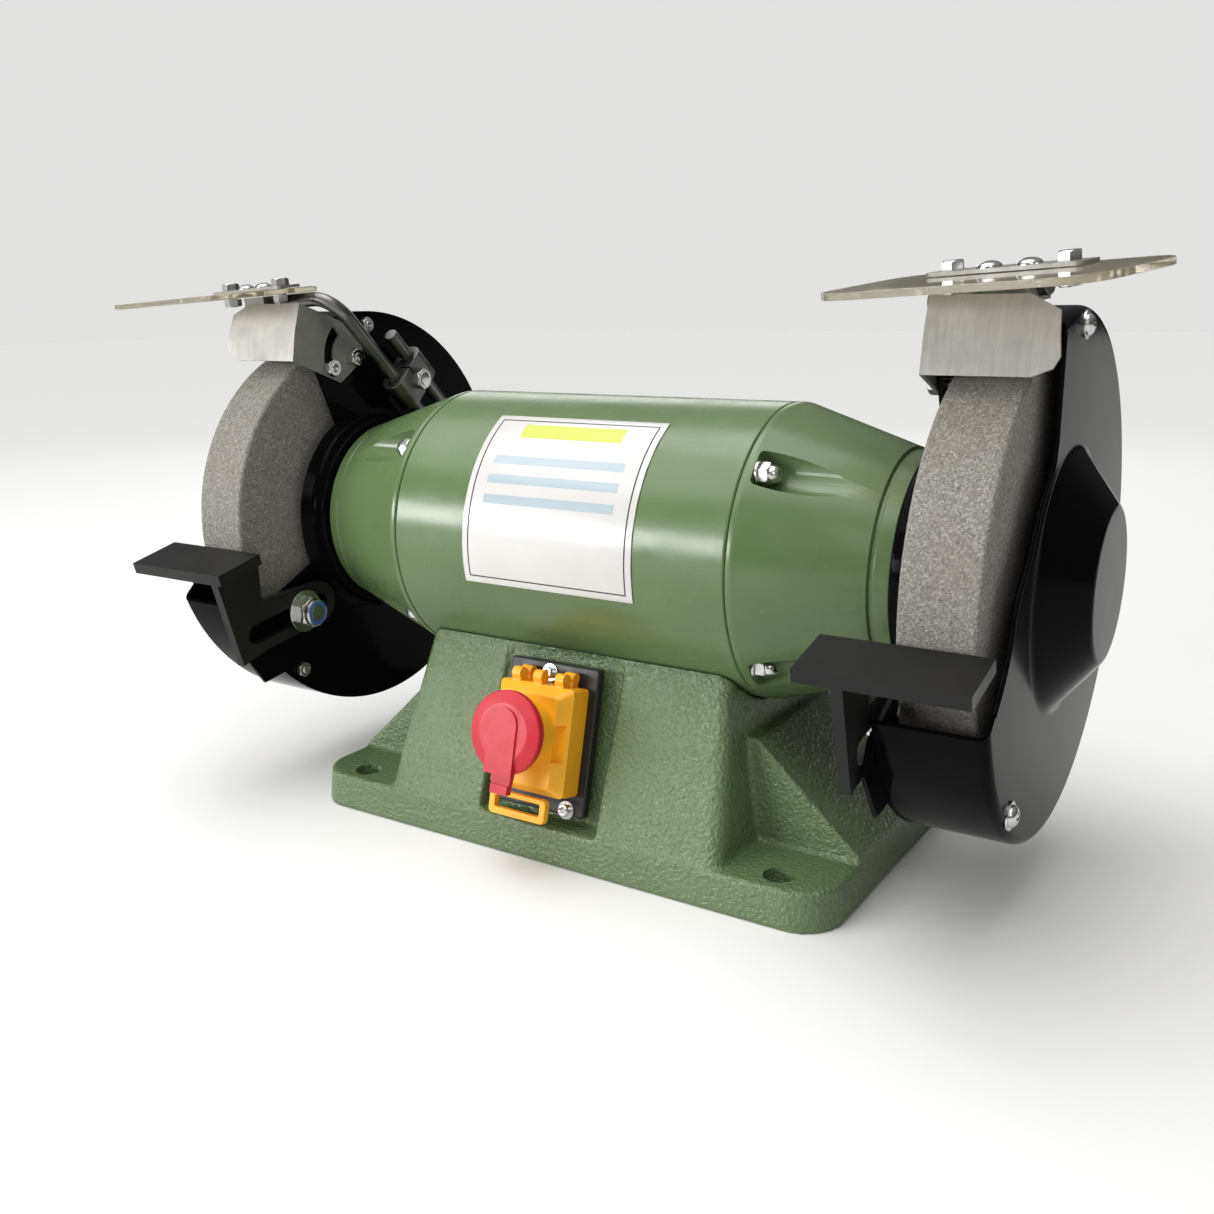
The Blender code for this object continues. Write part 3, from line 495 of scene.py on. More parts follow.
def laminations():
    look = Look("stator_laminations", (0.2, 0.2, 0.21), 0.45, metallic=0.9)
    wave = look.tree.nodes.new("ShaderNodeTexWave")
    wave.inputs["Scale"].default_value = 600.0
    look.link(look.coordinates, wave.inputs["Vector"])
    look.colour(look.ramp(wave.outputs["Fac"], (0.3, (0.12, 0.12, 0.125)), (0.7, (0.25, 0.25, 0.26))))
    look.bump(wave.outputs["Fac"], 0.5, 0.0002)
    return look.material


MAT = {
    "green": green_gloss(), "cast": green_cast(), "black": gloss_black(), "satin": satin_black(),
    "abrasive": abrasive(), "galvanised": galvanised(), "clear": clear(),
    "zinc": metal("zinc_plated", (0.66, 0.66, 0.65), 0.22),
    "bolt": metal("dull_zinc_bolt", (0.50, 0.50, 0.49), 0.32),
    "bar": metal("drawn_bar", (0.20, 0.195, 0.19), 0.36, 700.0, 0.3, 0.6),
    "steel": turned_metal("machined_steel", (0.52, 0.52, 0.53), 0.28),
    "can": metal("capacitor_can", (0.60, 0.60, 0.61), 0.30),
    "yellow": plastic("yellow_plastic", (0.97, 0.44, 0.014), 0.40),
    "red": plastic("red_plastic", (0.52, 0.006, 0.022), 0.40, (0.58, 0.03, 0.05)),
    "green_button": plastic("green_button_plastic", (0.02, 0.30, 0.08), 0.35),
    "moulding": plastic("black_plastic", (0.007, 0.007, 0.0075), 0.42),
    "nylon": plastic("blue_nylon", (0.04, 0.12, 0.42), 0.35),
    "label": paper("label_film", (0.62, 0.605, 0.59)),
    "ink": paper("label_ink", (0.035, 0.035, 0.035)),
    "band": paper("label_band", (0.40, 0.47, 0.52)),
    "lime": paper("label_header", (0.50, 0.56, 0.03)),
    "winding": winding(), "lamination": laminations(),
}


# ---------------------------------------------------------------- pieces

def soften(obj, width, segments=2, angle=30.0):
    """Round the edges of a piece and shade it smooth, with its flats kept flat."""
    if width > 0:
        bevel = obj.modifiers.new("edges", "BEVEL")
        bevel.width = width
        bevel.segments = segments
        bevel.limit_method = "ANGLE"
        bevel.angle_limit = math.radians(angle)
        bevel.miter_outer = "MITER_ARC"
        bevel.use_clamp_overlap = True
    shading = obj.modifiers.new("shading", "WEIGHTED_NORMAL")
    shading.keep_sharp = False


def piece(name, bm, look, body, replaces=(), edge=0.4 * mm, segments=2, angle=30.0):
    bmesh.ops.remove_doubles(bm, verts=bm.verts[:], dist=0.000005)
    mesh = bpy.data.meshes.new(name)
    bm.to_mesh(mesh)
    bm.free()
    mesh.shade_smooth()
    mesh.materials.append(MAT[look])
    obj = bpy.data.objects.new(name, mesh)
    bpy.context.scene.collection.objects.link(obj)
    soften(obj, edge, segments, angle)
    if replaces:
        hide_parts(*replaces)
    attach(obj, body)
    return obj


def refine(node, look, edge=0.4 * mm, segments=2):
    """A carried-over CAD node: its own shape, with rounded edges and a finish."""
    obj = NODES[node]
    obj.data.materials.clear()
    obj.data.materials.append(MAT[look])
    weld = obj.modifiers.new("weld", "WELD")
    weld.merge_threshold = 0.00002
    flat = obj.modifiers.new("flats", "DECIMATE")
    flat.decimate_type = "DISSOLVE"
    flat.angle_limit = math.radians(1)
    obj.data.shade_smooth()
    soften(obj, edge, segments)


def hex_head(radius, height):
    """Hexagon head along +Z with its top corners turned off."""
    hexagon = prism(arc((0, 0), radius, 0, 300, 5), "z", 0, height)
    cone = turned([(-1 * mm, 0), (-1 * mm, radius * 1.02), (height * 0.78, radius * 1.02),
                   (height, radius * 0.84), (height, 0)], 48, (0, 0), "z")
    return common(hexagon, cone)


def washer(radius, bore, thick):
    return turned([(0, bore), (0, radius), (thick, radius), (thick, bore)], 40, (0, 0), "z")


def dome(radius, height, start=0.0):
    top = [(start + height * math.sin(math.radians(a)), radius * math.cos(math.radians(a)))
           for a in range(0, 90, 10)]
    foot = [(start - 0.2 * mm, 0), (start - 0.2 * mm, radius)]
    return turned(foot + top + [(start + height, 0)], 40, (0, 0), "z")


def cross_screw(radius, height):
    """Pan head with a cross recess."""
    arm, half = radius * 0.52, radius * 0.11
    across = box(-arm, arm, -half, half, height * 0.35, height * 2)
    along = box(-half, half, -arm, arm, height * 0.35, height * 2)
    return cut(dome(radius, height), across, along)


def socket_screw(radius, height):
    outline = [(0, 0), (0, radius), (height * 0.85, radius), (height, radius * 0.9), (height, 0)]
    head = turned(outline, 40, (0, 0), "z")
    return cut(head, prism(arc((0, 0), radius * 0.52, 0, 300, 5), "z", height * 0.4, height * 2))


# ---------------------------------------------------------------- base

BASE_SIZE = size("base_casting")
BOLT_HOLES = [(x, y) for x in (-127 * mm, 127 * mm) for y in (-73 * mm, 73 * mm)]
PLATE_T = 19 * mm
BOLT_HOLE_R = 7.5 * mm
GLAND = (60 * mm, 38 * mm)
SWITCH = Matrix.Translation((-2.3 * mm, -68 * mm, 61.3 * mm)) @ Matrix.Rotation(math.radians(-14), 4, "X")


def base_casting():
    def ring(half, radius, z, steps=8):
        return [(x, y, z) for x, y in rounded_rect(half[0], half[1], radius, steps)]
    hx, hy = BASE_SIZE.x / 2, BASE_SIZE.y / 2
    casting = loft([ring((hx, hy), 22 * mm, 0, 10),
                    ring((hx - 1.5 * mm, hy - 1.5 * mm), 22 * mm, PLATE_T, 10)])
    pedestal = loft([ring((102.5 * mm, 87 * mm), 8 * mm, PLATE_T - 4 * mm),
                     ring((90.8 * mm, 52.4 * mm), 6 * mm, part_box("base_casting")[1][2])])
    end_z = PLATE_T + 2 * mm
    buttress = [(-155 * mm, 10 * mm), (155 * mm, 10 * mm), (155 * mm, end_z),
                (101 * mm, 71 * mm), (-101 * mm, 71 * mm), (-155 * mm, end_z)]
    casting = join(casting, pedestal, prism(buttress, "y", -44 * mm, 44 * mm))
    cavity = loft([ring((96.5 * mm, 73.5 * mm), 6 * mm, -1 * mm, 2),
                   ring((87.5 * mm, 54 * mm), 6 * mm, 73 * mm, 2)])
    casting = cut(casting, cavity)
    for side in (-1, 1):
        wing = [(99 * mm, -1 * mm), (147 * mm, -1 * mm), (147 * mm, 11 * mm), (99 * mm, 58 * mm)]
        casting = cut(casting, mirrored(prism(wing, "y", -37 * mm, 37 * mm), side))
    casting = cut(casting, rod(-120 * mm, 120 * mm, HOUSING_R + 0.4 * mm, 128))
    recess = prism(rounded_rect(36 * mm, 42.5 * mm, 6 * mm, 6), "y", -45 * mm, 5.3 * mm)
    casting = cut(casting, moved(recess, SWITCH @ Matrix.Translation((0, 0, 0.5 * mm))))
    casting = cut(casting, box(-38.3 * mm, 33.7 * mm, -100 * mm, -72 * mm, 19.3 * mm, 40 * mm))
    obj = scratch(casting, "casting")
    remesh = obj.modifiers.new("remesh", "REMESH")
    remesh.mode = "VOXEL"
    remesh.voxel_size = 1.3 * mm
    smooth = obj.modifiers.new("smooth", "SMOOTH")
    smooth.factor = 0.5
    smooth.iterations = 3
    casting = baked(obj)
    for x, y in BOLT_HOLES:
        casting = cut(casting, rod(-3 * mm, 25 * mm, BOLT_HOLE_R, 40, (x, y), "z"))
    casting = cut(casting, rod(60 * mm, 90 * mm, 7.3 * mm, 40, GLAND, "y"),
                  rod(76 * mm, 100 * mm, 13 * mm, 40, GLAND, "y"))
    casting = cut(casting, moved(box(-19 * mm, 19 * mm, 4 * mm, 32 * mm, -22 * mm, 22 * mm), SWITCH))
    body = piece("base_body", casting, "cast", "frame", ["base_casting"], edge=0)
    body.data.set_sharp_from_angle(angle=math.radians(48))
    body.modifiers["shading"].keep_sharp = True


def base_fittings():
    refine("base_cover", "galvanised", 0.2 * mm, 1)
    refine("capacitor", "can", 0.8 * mm)
    y_low, y_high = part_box("cable_gland")[0][1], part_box("cable_gland")[1][1]
    at = middle("cable_gland")
    nut_y = y_low + 14.3 * mm
    parts = [placed(hex_head(11.5 * mm, 6 * mm), (at.x, nut_y, at.z), (0, 1, 0))]
    crown = fillet([(nut_y + 6 * mm, 3.2 * mm), (nut_y + 6 * mm, 10 * mm), (y_high - 3 * mm, 9.4 * mm),
                    (y_high, 6.2 * mm), (y_high, 3.2 * mm)], (0.3 * mm, 1.5 * mm, 1 * mm))
    parts.append(turned(crown, 48, (at.x, at.z), "y"))
    stem = [(y_low, 3.2 * mm), (y_low, 7 * mm), (nut_y, 7 * mm), (nut_y, 3.2 * mm)]
    parts.append(turned(stem, 48, (at.x, at.z), "y"))
    for k in range(18):
        a = 2 * math.pi * k / 18
        rib_at = (at.x + 9.3 * mm * math.cos(a), at.z + 9.3 * mm * math.sin(a))
        parts.append(rod(nut_y + 7.5 * mm, y_high - 4 * mm, 0.7 * mm, 8, rib_at, "y"))
    piece("gland_body", merged(*parts), "moulding", "frame", ["cable_gland"], 0.25 * mm)


# ---------------------------------------------------------------- motor

TIE_R = 66 * mm
TIE_ANGLES = {"back_top": 43, "front_top": 137, "front_bottom": 223, "back_bottom": 317}
TIE_SEAT = 102.3 * mm


def motor():
    bore = HOUSING_R - 3.5 * mm
    edge = fillet([(HOUSING_HALF, bore), (HOUSING_HALF, HOUSING_R), (0, HOUSING_R)], (1.2 * mm,), 4)
    profile = edge + [(-x, r) for x, r in reversed(edge[:-1])]
    piece("housing_shell", turned(profile, 160), "green", "frame", ["motor_housing"], edge=0)
    refine("stator_core", "lamination", 0)
    refine("rotor_core", "lamination", 0)
    refine("left_stator_winding", "winding", 0.8 * mm)
    refine("right_stator_winding", "winding", 0.8 * mm)
    refine("shaft", "steel", 0.3 * mm)
    for side, word in SIDES:
        refine(f"{word}_bearing", "steel", 0.3 * mm)


def end_bell(side, word):
    outer = fillet([(BELL_IN, 56.5 * mm), (BELL_IN, HOUSING_R), (100 * mm, HOUSING_R), (156.5 * mm, 54.8 * mm),
                    (157.2 * mm, 53.2 * mm), (158.4 * mm, 53.0 * mm), (159 * mm, 53.4 * mm),
                    (BELL_OUT, 52 * mm), (BELL_OUT, 12.5 * mm)],
                   (1 * mm, 6 * mm, 0.5 * mm, 0.3 * mm, 0.3 * mm, 0.4 * mm, 1.2 * mm), 5)
    inner = [(163.3 * mm, 12.5 * mm), (163.3 * mm, 23.8 * mm), (148 * mm, 23.8 * mm), (148 * mm, 30 * mm),
             (158 * mm, 30 * mm), (158 * mm, 40 * mm), (148 * mm, 48 * mm)]
    bell = turned(outer + inner, 160)
    for angle in TIE_ANGLES.values():
        c, s = math.cos(math.radians(angle)), math.sin(math.radians(angle))
        pocket = fillet([(TIE_SEAT - 0.3 * mm, 0), (TIE_SEAT - 0.3 * mm, 9.5 * mm),
                         (150 * mm, 9.5 * mm), (150 * mm, 0)], (2 * mm, 0), 4)
        bell = cut(bell, turned(pocket, 48, (68.5 * mm * c, AXIS_Z + 68.5 * mm * s)))
        bell = cut(bell, rod(90 * mm, 110 * mm, 2.9 * mm, 24, (TIE_R * c, AXIS_Z + TIE_R * s)))
    piece(f"{word}_bell", mirrored(bell, side), "green", "frame", [f"{word}_end_bell"],
          0.5 * mm, 3, 34)


def tie_bolts():
    for name, angle in TIE_ANGLES.items():
        y, z = TIE_R * math.cos(math.radians(angle)), AXIS_Z + TIE_R * math.sin(math.radians(angle))
        parts = [rod(-TIE_SEAT - 1 * mm, TIE_SEAT + 1 * mm, 2.5 * mm, 24, (y, z))]
        for side in (-1, 1):
            nut_at = side * (TIE_SEAT + 1.2 * mm)
            parts.append(placed(washer(6.5 * mm, 2.6 * mm, 1.1 * mm), (side * TIE_SEAT, y, z), (side, 0, 0)))
            parts.append(placed(hex_head(5.6 * mm, 5 * mm), (nut_at, y, z), (side, 0, 0)))
            parts.append(placed(dome(4.5 * mm, 4.4 * mm), (side * (TIE_TIP - 4.5 * mm), y, z), (side, 0, 0)))
        piece(f"tie_rod_{name}", merged(*parts), "zinc", "frame",
              [f"tie_bolt_{name}"], 0.2 * mm)


LABEL_STEP = 1.5


def label_patch(x0, x1, a0, a1, radius, thick=0.06 * mm):
    steps = max(2, int(abs(a1 - a0) / LABEL_STEP))
    outline = arc((0, AXIS_Z), radius + thick, a0, a1, steps) + arc((0, AXIS_Z), radius, a1, a0, steps)
    return prism(outline, "x", x0, x1)


def label():
    low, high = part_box("rating_label")
    x0, x1 = low[0], high[0]
    top, bottom = 119.5, 193.0
    inner = HOUSING_R + 0.2 * mm
    face = HOUSING_R + 0.7 * mm
    piece("label_sheet", label_patch(x0, x1, bottom, top, inner, 0.5 * mm), "label", "frame",
          ["rating_label"], 0)
    degree = math.degrees(1 / HOUSING_R)

    def patch(u0, u1, v0, v1):
        """u from the left edge, v down from the top edge, in metres."""
        return label_patch(x0 + u0, x0 + u1, top + v0 * degree, top + v1 * degree, face)
    width = x1 - x0
    height = math.radians(bottom - top) * HOUSING_R
    rim, line = 3.2 * mm, 0.7 * mm
    border = [patch(rim, width - rim, rim, rim + line),
              patch(rim, width - rim, height - rim - line, height - rim),
              patch(rim, rim + line, rim + line, height - rim - line),
              patch(width - rim - line, width - rim, rim + line, height - rim - line)]
    piece("label_border", merged(*border), "ink", "frame", (), 0)
    piece("label_header", patch(20 * mm, 80 * mm, 6.5 * mm, 15.5 * mm), "lime", "frame", (), 0)
    bands = [patch(11 * mm, 88 * mm, v * mm, (v + 4.6) * mm) for v in (27, 37.5, 48)]
    piece("label_bands", merged(*bands), "band", "frame", (), 0)


# ---------------------------------------------------------------- wheels and guards

REST_BOLT = (-71 * mm, -48 * mm)
PIVOT = (-13 * mm, 91 * mm)
LOCK = (-32 * mm, 86 * mm)
COVER_OUT = 227 * mm
COVER_T = 1.5 * mm
HUB_R = (57 * mm, 34 * mm)
COVER_SCREWS = [(0, 109 * mm), (-70 * mm, -84 * mm), (103 * mm, -37.5 * mm)]


def wheel(side, word):
    edge = 1.8 * mm
    rim = fillet([(WHEEL_IN, 16 * mm), (WHEEL_IN, WHEEL_R), (WHEEL_OUT, WHEEL_R), (WHEEL_OUT, 16 * mm)],
                 (edge, edge), 4)
    bm = turned(rim, 160)
    piece(f"{word}_stone", mirrored(bm, side), "abrasive", "rotor", [f"{word}_wheel"], 0)
    for node in ("inner_flange", "outer_flange"):
        refine(f"{word}_{node}", "steel", 0.4 * mm)
    refine(f"{word}_wheel_nut", "bolt", 0.5 * mm)


def guard_arc(start, end, steps, radius):
    return [(-radius * math.sin(math.radians(a)), radius * math.cos(math.radians(a)))
            for a in (start + (end - start) * k / steps for k in range(steps + 1))]


def inner_guard(side, word):
    plate_in = GUARD_OUT - 2 * mm
    corners = [(-97 * mm, -85 * mm), (-113 * mm, -62 * mm), (-107 * mm, -48 * mm),
               (-50 * mm, -22 * mm), (-25 * mm, 46 * mm)]
    outline = guard_arc(25, -225, 120, GUARD_R) + corners
    plate = prism(from_axis(outline), "x", plate_in, GUARD_OUT)
    collar_in = BELL_OUT + 0.3 * mm
    collar = fillet([(collar_in, 44 * mm), (collar_in, 56 * mm), (plate_in - 5 * mm, 56 * mm),
                     (plate_in + 0.6 * mm, 61 * mm), (plate_in + 0.6 * mm, 44 * mm)], (2 * mm, 6 * mm, 0), 5)
    guard = join(plate, turned(collar, 128))
    guard = cut(guard, rod(160 * mm, 190 * mm, 43 * mm, 96))
    for (y, z), radius in ((REST_BOLT, 5.4 * mm), (PIVOT, 3.4 * mm), (LOCK, 3.4 * mm)):
        guard = cut(guard, rod(170 * mm, 190 * mm, radius, 32, (y, AXIS_Z + z)))
    piece(f"{word}_guard_plate", mirrored(guard, side), "black", "frame",
          [f"{word}_inner_guard"], 0.5 * mm, 2, 34)


COVER_EDGE = [(-110 * mm, -40 * mm), (-94 * mm, -24 * mm), (-84 * mm, -8 * mm), (-79 * mm, 6 * mm),
              (-65 * mm, 21 * mm), (-50 * mm, 42 * mm), (-37 * mm, 52 * mm), (-33 * mm, 64 * mm)]


def curve_through(points, steps=6):
    """Smooth curve through points."""
    points = [Vector(p) for p in points]
    ends = [2 * points[0] - points[1]] + points + [2 * points[-1] - points[-2]]
    out = []
    for a, b, c, d in zip(ends, ends[1:], ends[2:], ends[3:]):
        for k in range(steps):
            t = k / steps
            out.append(0.5 * (2 * b + (c - a) * t + (2 * a - 5 * b + 4 * c - d) * t * t
                              + (3 * b - a - 3 * c + d) * t ** 3))
    return out + [points[-1]]


def outer_cover(side, word):
    face, (hub_r, top_r) = COVER_OUT, HUB_R
    outside = fillet([(COVER_IN, GUARD_R), (face, GUARD_R), (face, hub_r + 1 * mm), (HUB_OUT, top_r),
                      (HUB_OUT, 0)], (4.5 * mm, 7 * mm, 5 * mm), 7)
    inside = fillet([(HUB_OUT - COVER_T, 0), (HUB_OUT - COVER_T, top_r - 1 * mm), (face - COVER_T, hub_r),
                     (face - COVER_T, GUARD_R - COVER_T), (COVER_IN, GUARD_R - COVER_T)],
                    (6.5 * mm, 5.5 * mm, 3 * mm), 7)
    shell = turned(outside + inside, 160)
    start, end = 16.5, -250
    edge = curve_through(COVER_EDGE)
    outline = guard_arc(start, end, 60, GUARD_R + 3 * mm) + edge
    shell = common(shell, prism(from_axis(outline), "x", COVER_IN - 1 * mm, HUB_OUT + 1 * mm))
    run = edge[3:] + [Vector((-33.1 * mm, 72 * mm)), Vector((-33.1 * mm, 107 * mm))]
    lip = [(COVER_OUT - 0.9 * mm, p[0], AXIS_Z + p[1]) for p in run]
    cover = merged(shell, tube(lip, 1.35 * mm, 16))
    piece(f"{word}_cover_shell", mirrored(cover, side), "black", "frame",
          [f"{word}_outer_cover"], 0.35 * mm, 2, 40)
    heads, nuts = [], []
    for y, z in COVER_SCREWS:
        at = (side * (COVER_OUT - 0.1 * mm), y, AXIS_Z + z)
        heads.append(placed(washer(6.2 * mm, 2.5 * mm, 0.9 * mm), at, (side, 0, 0)))
        head_at = (at[0] + side * 0.9 * mm, y, AXIS_Z + z)
        heads.append(placed(cross_screw(4.8 * mm, 3.2 * mm), head_at, (side, 0, 0)))
        back = (side * (GUARD_OUT - 2 * mm), y, AXIS_Z + z)
        nuts.append(placed(hex_head(4.6 * mm, 3.6 * mm), back, (-side, 0, 0)))
        nuts.append(placed(dome(2.4 * mm, 1.2 * mm, 3.6 * mm), back, (-side, 0, 0)))
    piece(f"{word}_cover_screws", merged(*heads), "zinc", "frame", (), 0.12 * mm)
    piece(f"{word}_cover_nuts", merged(*nuts), "bolt", "frame", (), 0.12 * mm)


# ---------------------------------------------------------------- rests and deflectors

def tool_rest(side, word):
    refine(f"{word}_tool_rest", "satin", 1.0 * mm, 3)
    y, z = REST_BOLT[0], AXIS_Z + REST_BOLT[1]
    face = 171.7 * mm

    def at(x):
        return (side * x, y, z)
    inward = (-side, 0, 0)
    shank = (side * 160.5 * mm, side * 184 * mm)
    collar = [(0, 5.1 * mm), (0, 7.8 * mm), (2.4 * mm, 7.6 * mm), (3 * mm, 6.8 * mm), (3 * mm, 5.1 * mm)]
    bolt = [placed(washer(12 * mm, 5.2 * mm, 1.7 * mm), at(face), inward),
            placed(hex_head(9.2 * mm, 6.2 * mm), at(face - 1.7 * mm), inward),
            rod(min(shank), max(shank), 4.9 * mm, 32, (y, z)),
            placed(turned(collar, 40, (0, 0), "z"), at(face - 7.9 * mm), inward)]
    head_at = (side * (GUARD_OUT + 0.3 * mm), y, z)
    bolt.append(placed(turned([(0, 0), (0, 9 * mm), (1 * mm, 8.6 * mm), (2.4 * mm, 6 * mm), (2.4 * mm, 0)],
                              40, (0, 0), "z"), head_at, (side, 0, 0)))
    piece(f"{word}_rest_fastener", merged(*bolt), "zinc", "frame",
          [f"{word}_rest_bolt"], 0.25 * mm)
    insert = [(0, 4.95 * mm), (0, 6.6 * mm), (0.5 * mm, 6.4 * mm), (0.5 * mm, 4.95 * mm)]
    ring = placed(turned(insert, 40, (0, 0), "z"), at(face - 10.7 * mm), inward)
    piece(f"{word}_rest_nut_insert", ring, "nylon", "frame", (), 0)


def deflector(side, word):
    refine(f"{word}_spark_deflector", "galvanised", 0.45 * mm, 2)
    for name, (y, z) in (("pivot", PIVOT), ("lock", LOCK)):
        face = (side * 176.9 * mm, y, AXIS_Z + z)
        parts = [placed(hex_head(5.2 * mm, 4.0 * mm), face, (-side, 0, 0)),
                 placed(dome(2.6 * mm, 0.9 * mm, 4.0 * mm), face, (-side, 0, 0)),
                 rod(min(side * 176 * mm, side * 183 * mm), max(side * 176 * mm, side * 183 * mm), 3 * mm, 24,
                     (y, AXIS_Z + z))]
        piece(f"{word}_deflector_{name}_screw", merged(*parts), "zinc", "frame",
              [f"{word}_deflector_{name}_bolt"], 0.15 * mm)


# ---------------------------------------------------------------- eye shields

ROD_R = 4 * mm
ROD_X = 166 * mm
SHIELD = {
    -1: dict(rod_q=61.3 * mm, support_q=78.3 * mm, bend_z=124.8 * mm, yaw=math.radians(-9.4), bend_r=14 * mm,
             slope_x=0.053, slope_y=0.063, sheet=77 * mm, strip=61 * mm, end_s=9 * mm),
    1: dict(rod_q=77.7 * mm, support_q=94.7 * mm, bend_z=122.7 * mm, yaw=math.radians(-16.9), bend_r=10 * mm,
            slope_x=0.074, slope_y=0.092, sheet=44 * mm, strip=42 * mm, end_s=-2 * mm),
}
SHIELD_SIZE = (125 * mm, 72 * mm, 3 * mm)
SHIELD_BEHIND = 9.5 * mm
STRIP_FORWARD = 8.5 * mm
STRIP_BOLT = 26 * mm
SADDLE = (-11 * mm, 9 * mm)
CLAMP_S = -38.9 * mm


def on_rod(q, s):
    return ((q + s) / math.sqrt(2), (q - s) / math.sqrt(2))


def shield_frame(side):
    d = SHIELD[side]
    y, z = on_rod(d["rod_q"], d["rod_q"] - d["bend_z"] * math.sqrt(2))
    run = Vector((math.cos(d["yaw"]), math.sin(d["yaw"]), 0)) * side
    run.z = d["slope_x"] * run.x + d["slope_y"] * run.y
    run.normalize()
    normal = Vector((-d["slope_x"], -d["slope_y"], 1)).normalized()
    back = normal.cross(run) * side
    matrix = Matrix((run, back, normal)).transposed().to_4x4()
    matrix.translation = Vector((side * ROD_X, y, AXIS_Z + z))
    return matrix


def eye_shield(side, word):
    d = SHIELD[side]
    matrix = shield_frame(side)
    width, depth, thick = SHIELD_SIZE
    under = ROD_R + 0.3 * mm
    top = under + thick + 0.3 * mm
    centre = (d["sheet"], SHIELD_BEHIND - depth / 2)
    sheet = prism(rounded_rect(width / 2, depth / 2, 17 * mm, 14, centre), "z", under, under + thick)
    middle_x, front = d["strip"], -STRIP_FORWARD
    places = (middle_x - STRIP_BOLT, middle_x + STRIP_BOLT)
    for x in places:
        sheet = cut(sheet, rod(0, 15 * mm, 3.2 * mm, 32, (x, front), "z"))
    piece(f"{word}_shield_sheet", moved(sheet, matrix), "clear", f"{word}_shield",
          [f"{word}_eye_shield"], 0.5 * mm, 3)
    strip = prism(rounded_rect(35 * mm, 8 * mm, 3 * mm, 8, (middle_x, front)), "z", top, top + 1.6 * mm)
    for x in places:
        strip = cut(strip, rod(0, 15 * mm, 2.6 * mm, 32, (x, front), "z"))
    near, far = middle_x + SADDLE[0], middle_x + SADDLE[1]
    block = box(near, far, front - 3 * mm, 6.5 * mm, -5.8 * mm, under - 0.3 * mm)
    block = cut(block, rod(0, 200 * mm, ROD_R + 0.3 * mm, 32, (0, 0)))
    piece(f"{word}_shield_bracket", moved(merged(strip, block), matrix), "galvanised", f"{word}_shield",
          [f"{word}_shield_clip"], 0.4 * mm)
    bolts = []
    face = top + 1.6 * mm
    for x in places:
        bolts.append(moved(hex_head(5 * mm, 4 * mm), Matrix.Translation((x, front, face))))
        bolts.append(rod(-0.5 * mm, face + 1 * mm, 2.4 * mm, 24, (x, front), "z"))
        below = Matrix.Translation((x, front, under - 0.3 * mm)) @ Matrix.Scale(-1, 4, (0, 0, 1))
        bolts.append(moved(hex_head(5 * mm, 4.4 * mm), below))
    for x in (middle_x - 9 * mm, middle_x + 9 * mm):
        bolts.append(moved(dome(5.2 * mm, 2.6 * mm), Matrix.Translation((x, front, face))))
    piece(f"{word}_shield_bolts", moved(merged(*bolts), matrix), "zinc", f"{word}_shield",
          (), 0.2 * mm)


def rods(side, word):
    d = SHIELD[side]
    matrix = shield_frame(side)
    y, z = on_rod(d["rod_q"], d["end_s"])
    corners = [matrix @ Vector((d["strip"] + SADDLE[1] + 4 * mm, 0, 0)), matrix.translation,
               Vector((side * ROD_X, y, AXIS_Z + z))]
    path = fillet(corners, (d["bend_r"],), 14)
    piece(f"{word}_upper_rod", tube(path, ROD_R, 32), "bar", f"{word}_rod",
          [f"{word}_shield_rod"], 0.6 * mm)
    q, down_y, x, foot_z = d["support_q"], 63 * mm, side * ROD_X, -14 * mm
    top = on_rod(q, -68 * mm)
    knee_z = q * math.sqrt(2) - down_y
    corners = [Vector((x, top[0], AXIS_Z + top[1])), Vector((x, down_y, AXIS_Z + knee_z)),
               Vector((x, down_y, AXIS_Z + foot_z)), Vector((side * 177 * mm, down_y, AXIS_Z + foot_z))]
    path = fillet(corners, (8 * mm, 8 * mm), 12)
    foot = placed(turned([(0, 0), (0, 8 * mm), (3.7 * mm, 8 * mm), (3.7 * mm, 0)], 48, (0, 0), "z"),
                  (side * 175 * mm, down_y, AXIS_Z + foot_z), (side, 0, 0))
    piece(f"{word}_lower_rod", merged(tube(path, ROD_R, 32), foot), "bar", "frame",
          [f"{word}_support_rod"], 0.6 * mm)
    y, z = on_rod((d["rod_q"] + d["support_q"]) / 2, CLAMP_S)
    centre = Vector((x, y, AXIS_Z + z))
    tilt = Matrix.Translation(centre) @ Matrix.Rotation(math.radians(-45), 4, "X")
    block = prism(rounded_rect(7.3 * mm, 16.5 * mm, 6 * mm, 8), "y", -10 * mm, 10 * mm)
    half_gap = (d["support_q"] - d["rod_q"]) / 2
    for offset in (-half_gap, half_gap):
        block = cut(block, rod(-40 * mm, 40 * mm, ROD_R + 0.3 * mm, 32, (0, offset), "y"))
    block = cut(block, box(-0.5 * mm, 9 * mm, -11 * mm, 11 * mm, -0.4 * mm, 0.4 * mm))
    piece(f"{word}_clamp_block", moved(block, tilt), "bar", f"{word}_clamp",
          [f"{word}_rod_clamp"], 0.7 * mm)
    inner = (side * (ROD_X - 6.9 * mm), y, AXIS_Z + z)
    outer = (side * (ROD_X + 6.5 * mm), y, AXIS_Z + z)
    parts = [placed(hex_head(6.4 * mm, 5.8 * mm), inner, (-side, 0, 0)),
             placed(dome(4 * mm, 0.7 * mm, 5.8 * mm), inner, (-side, 0, 0)),
             placed(hex_head(5.6 * mm, 2.2 * mm), outer, (side, 0, 0))]
    piece(f"{word}_clamp_screw", merged(*parts), "zinc", f"{word}_clamp", (), 0.2 * mm)


# ---------------------------------------------------------------- switch

